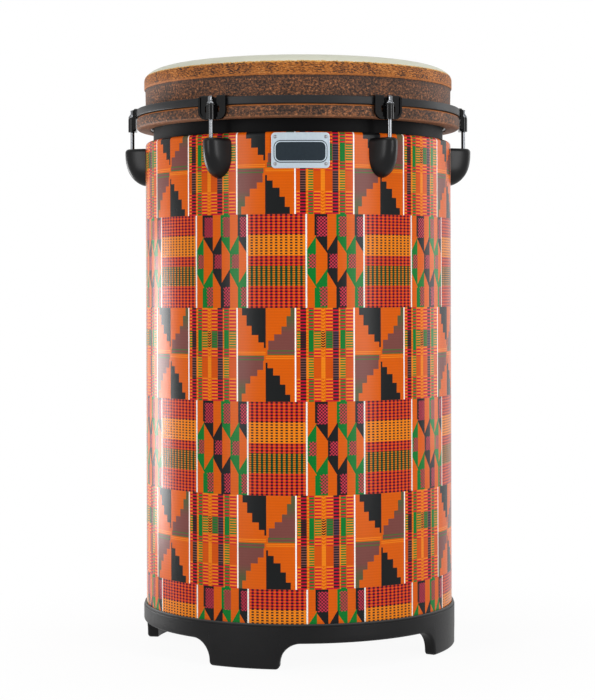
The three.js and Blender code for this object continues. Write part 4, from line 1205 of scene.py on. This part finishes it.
def bent_round_shell(piece, radius, steps=24):
    """Bends a piece made flat at the front, so that its back follows the shell."""
    work = bmesh.new()
    work.from_mesh(piece.data)
    half = BADGE_WIDTH / 2
    for i in range(1, steps):
        x = (-half + 2 * half * i / steps) * MM
        parts = [*work.verts, *work.edges, *work.faces]
        bmesh.ops.bisect_plane(work, geom=parts, plane_co=(x, 0, 0), plane_no=(1, 0, 0), dist=1e-7)
    for vert in work.verts:
        distance = -vert.co.y
        angle = vert.co.x / (radius * MM)
        vert.co = Vector((distance * math.sin(angle), -distance * math.cos(angle), vert.co.z))
    work.to_mesh(piece.data)
    work.free()


def badge():
    back = SHELL_RADIUS + SEAT
    front = back + BADGE_THICKNESS
    middle = (BADGE_TOP + BADGE_BOTTOM) / 2
    half_width = back * math.asin(BADGE_WIDTH / 2 / front)
    half_height = (BADGE_TOP - BADGE_BOTTOM) / 2
    outline, inner = [
        rounded_outline(half_width - inset, half_height - inset, BADGE_CORNER - inset, middle)
        for inset in (0, BADGE_BORDER)]
    plate = extruded("badge_plate_blank", [outline], front - 0.1, 0.9, BADGE_METAL)
    border = extruded("badge_border", [outline, inner], front, 0.5, BADGE_METAL)
    joined(plate, [border], "UNION")
    plate = bevelled(plate, 0.12)
    bent_round_shell(plate, back)
    plate = dressed_again(plate, "badge_blank_plate", 30)
    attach(plate, "shell")
    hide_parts("badge_plate")
    badge_panel(back, front, middle)


def badge_panel(back, front, middle):
    """A plain dark panel in a raised rim, on the middle of the plate."""
    half_width, half_height, corner = 25.5, 9.6, 5.0
    low_middle = middle - 1.2
    under, outside, inside = [
        rounded_outline(half_width + wider, half_height + wider, corner + wider, low_middle)
        for wider in (2.0, 1.1, 0.0)]
    panel = extruded("badge_panel_blank", [under], front + 0.25, 0.6, BADGE_ENAMEL)
    rim = extruded("badge_rim_blank", [outside, inside], front + 0.6, 0.95, BADGE_METAL)
    for blank, name in ((panel, "badge_panel"), (rim, "badge_panel_rim")):
        blank = bevelled(blank, 0.15)
        bent_round_shell(blank, back)
        piece = dressed_again(blank, name, 30)
        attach(piece, "shell")


def badge_rivets():
    front = SHELL_RADIUS + SEAT + BADGE_THICKNESS
    profile = [(0.9, front - 3.0), (1.0, front - 0.2), (1.75, front - 0.05), (1.8, front + 0.15),
               (1.6, front + 0.42), (1.15, front + 0.66), (0.55, front + 0.78)]
    turns = [2 * math.pi * i / RIVET_STEPS for i in range(RIVET_STEPS)]
    for row, height in enumerate(sorted({round(r.z, 2) for r in RIVETS})):
        rings = [[(r * math.cos(t), -distance, height + r * math.sin(t)) for t in turns]
                 for r, distance in profile]
        pair = lofted(f"badge_rivets_{row + 1}", rings, PLAIN_STEEL)
        places = [i for i, r in enumerate(RIVETS) if abs(r.z - height) < 0.5]
        angle = max(math.atan2(RIVETS[i].x, -RIVETS[i].y) for i in places)
        round_the_drum(pair, 2, -angle, 2 * angle)
        nodes = [f"badge_rivet_{i + 1}" for i in places]
        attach(pair, "shell")
        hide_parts(*nodes)


printed_shell()
shell_board()
neck()
head()
flesh_hoop()
counterhoop()
foot_ring()
bass_port()
hoop_clips()
tension_rods()
rod_washers()
tuning_lugs()
badge()
badge_rivets()

for name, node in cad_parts.items():
    if name.startswith(("lug_nut", "upper_lug_screw", "lower_lug_screw")):
        node.data.materials.clear()
        node.data.materials.append(PLAIN_STEEL)
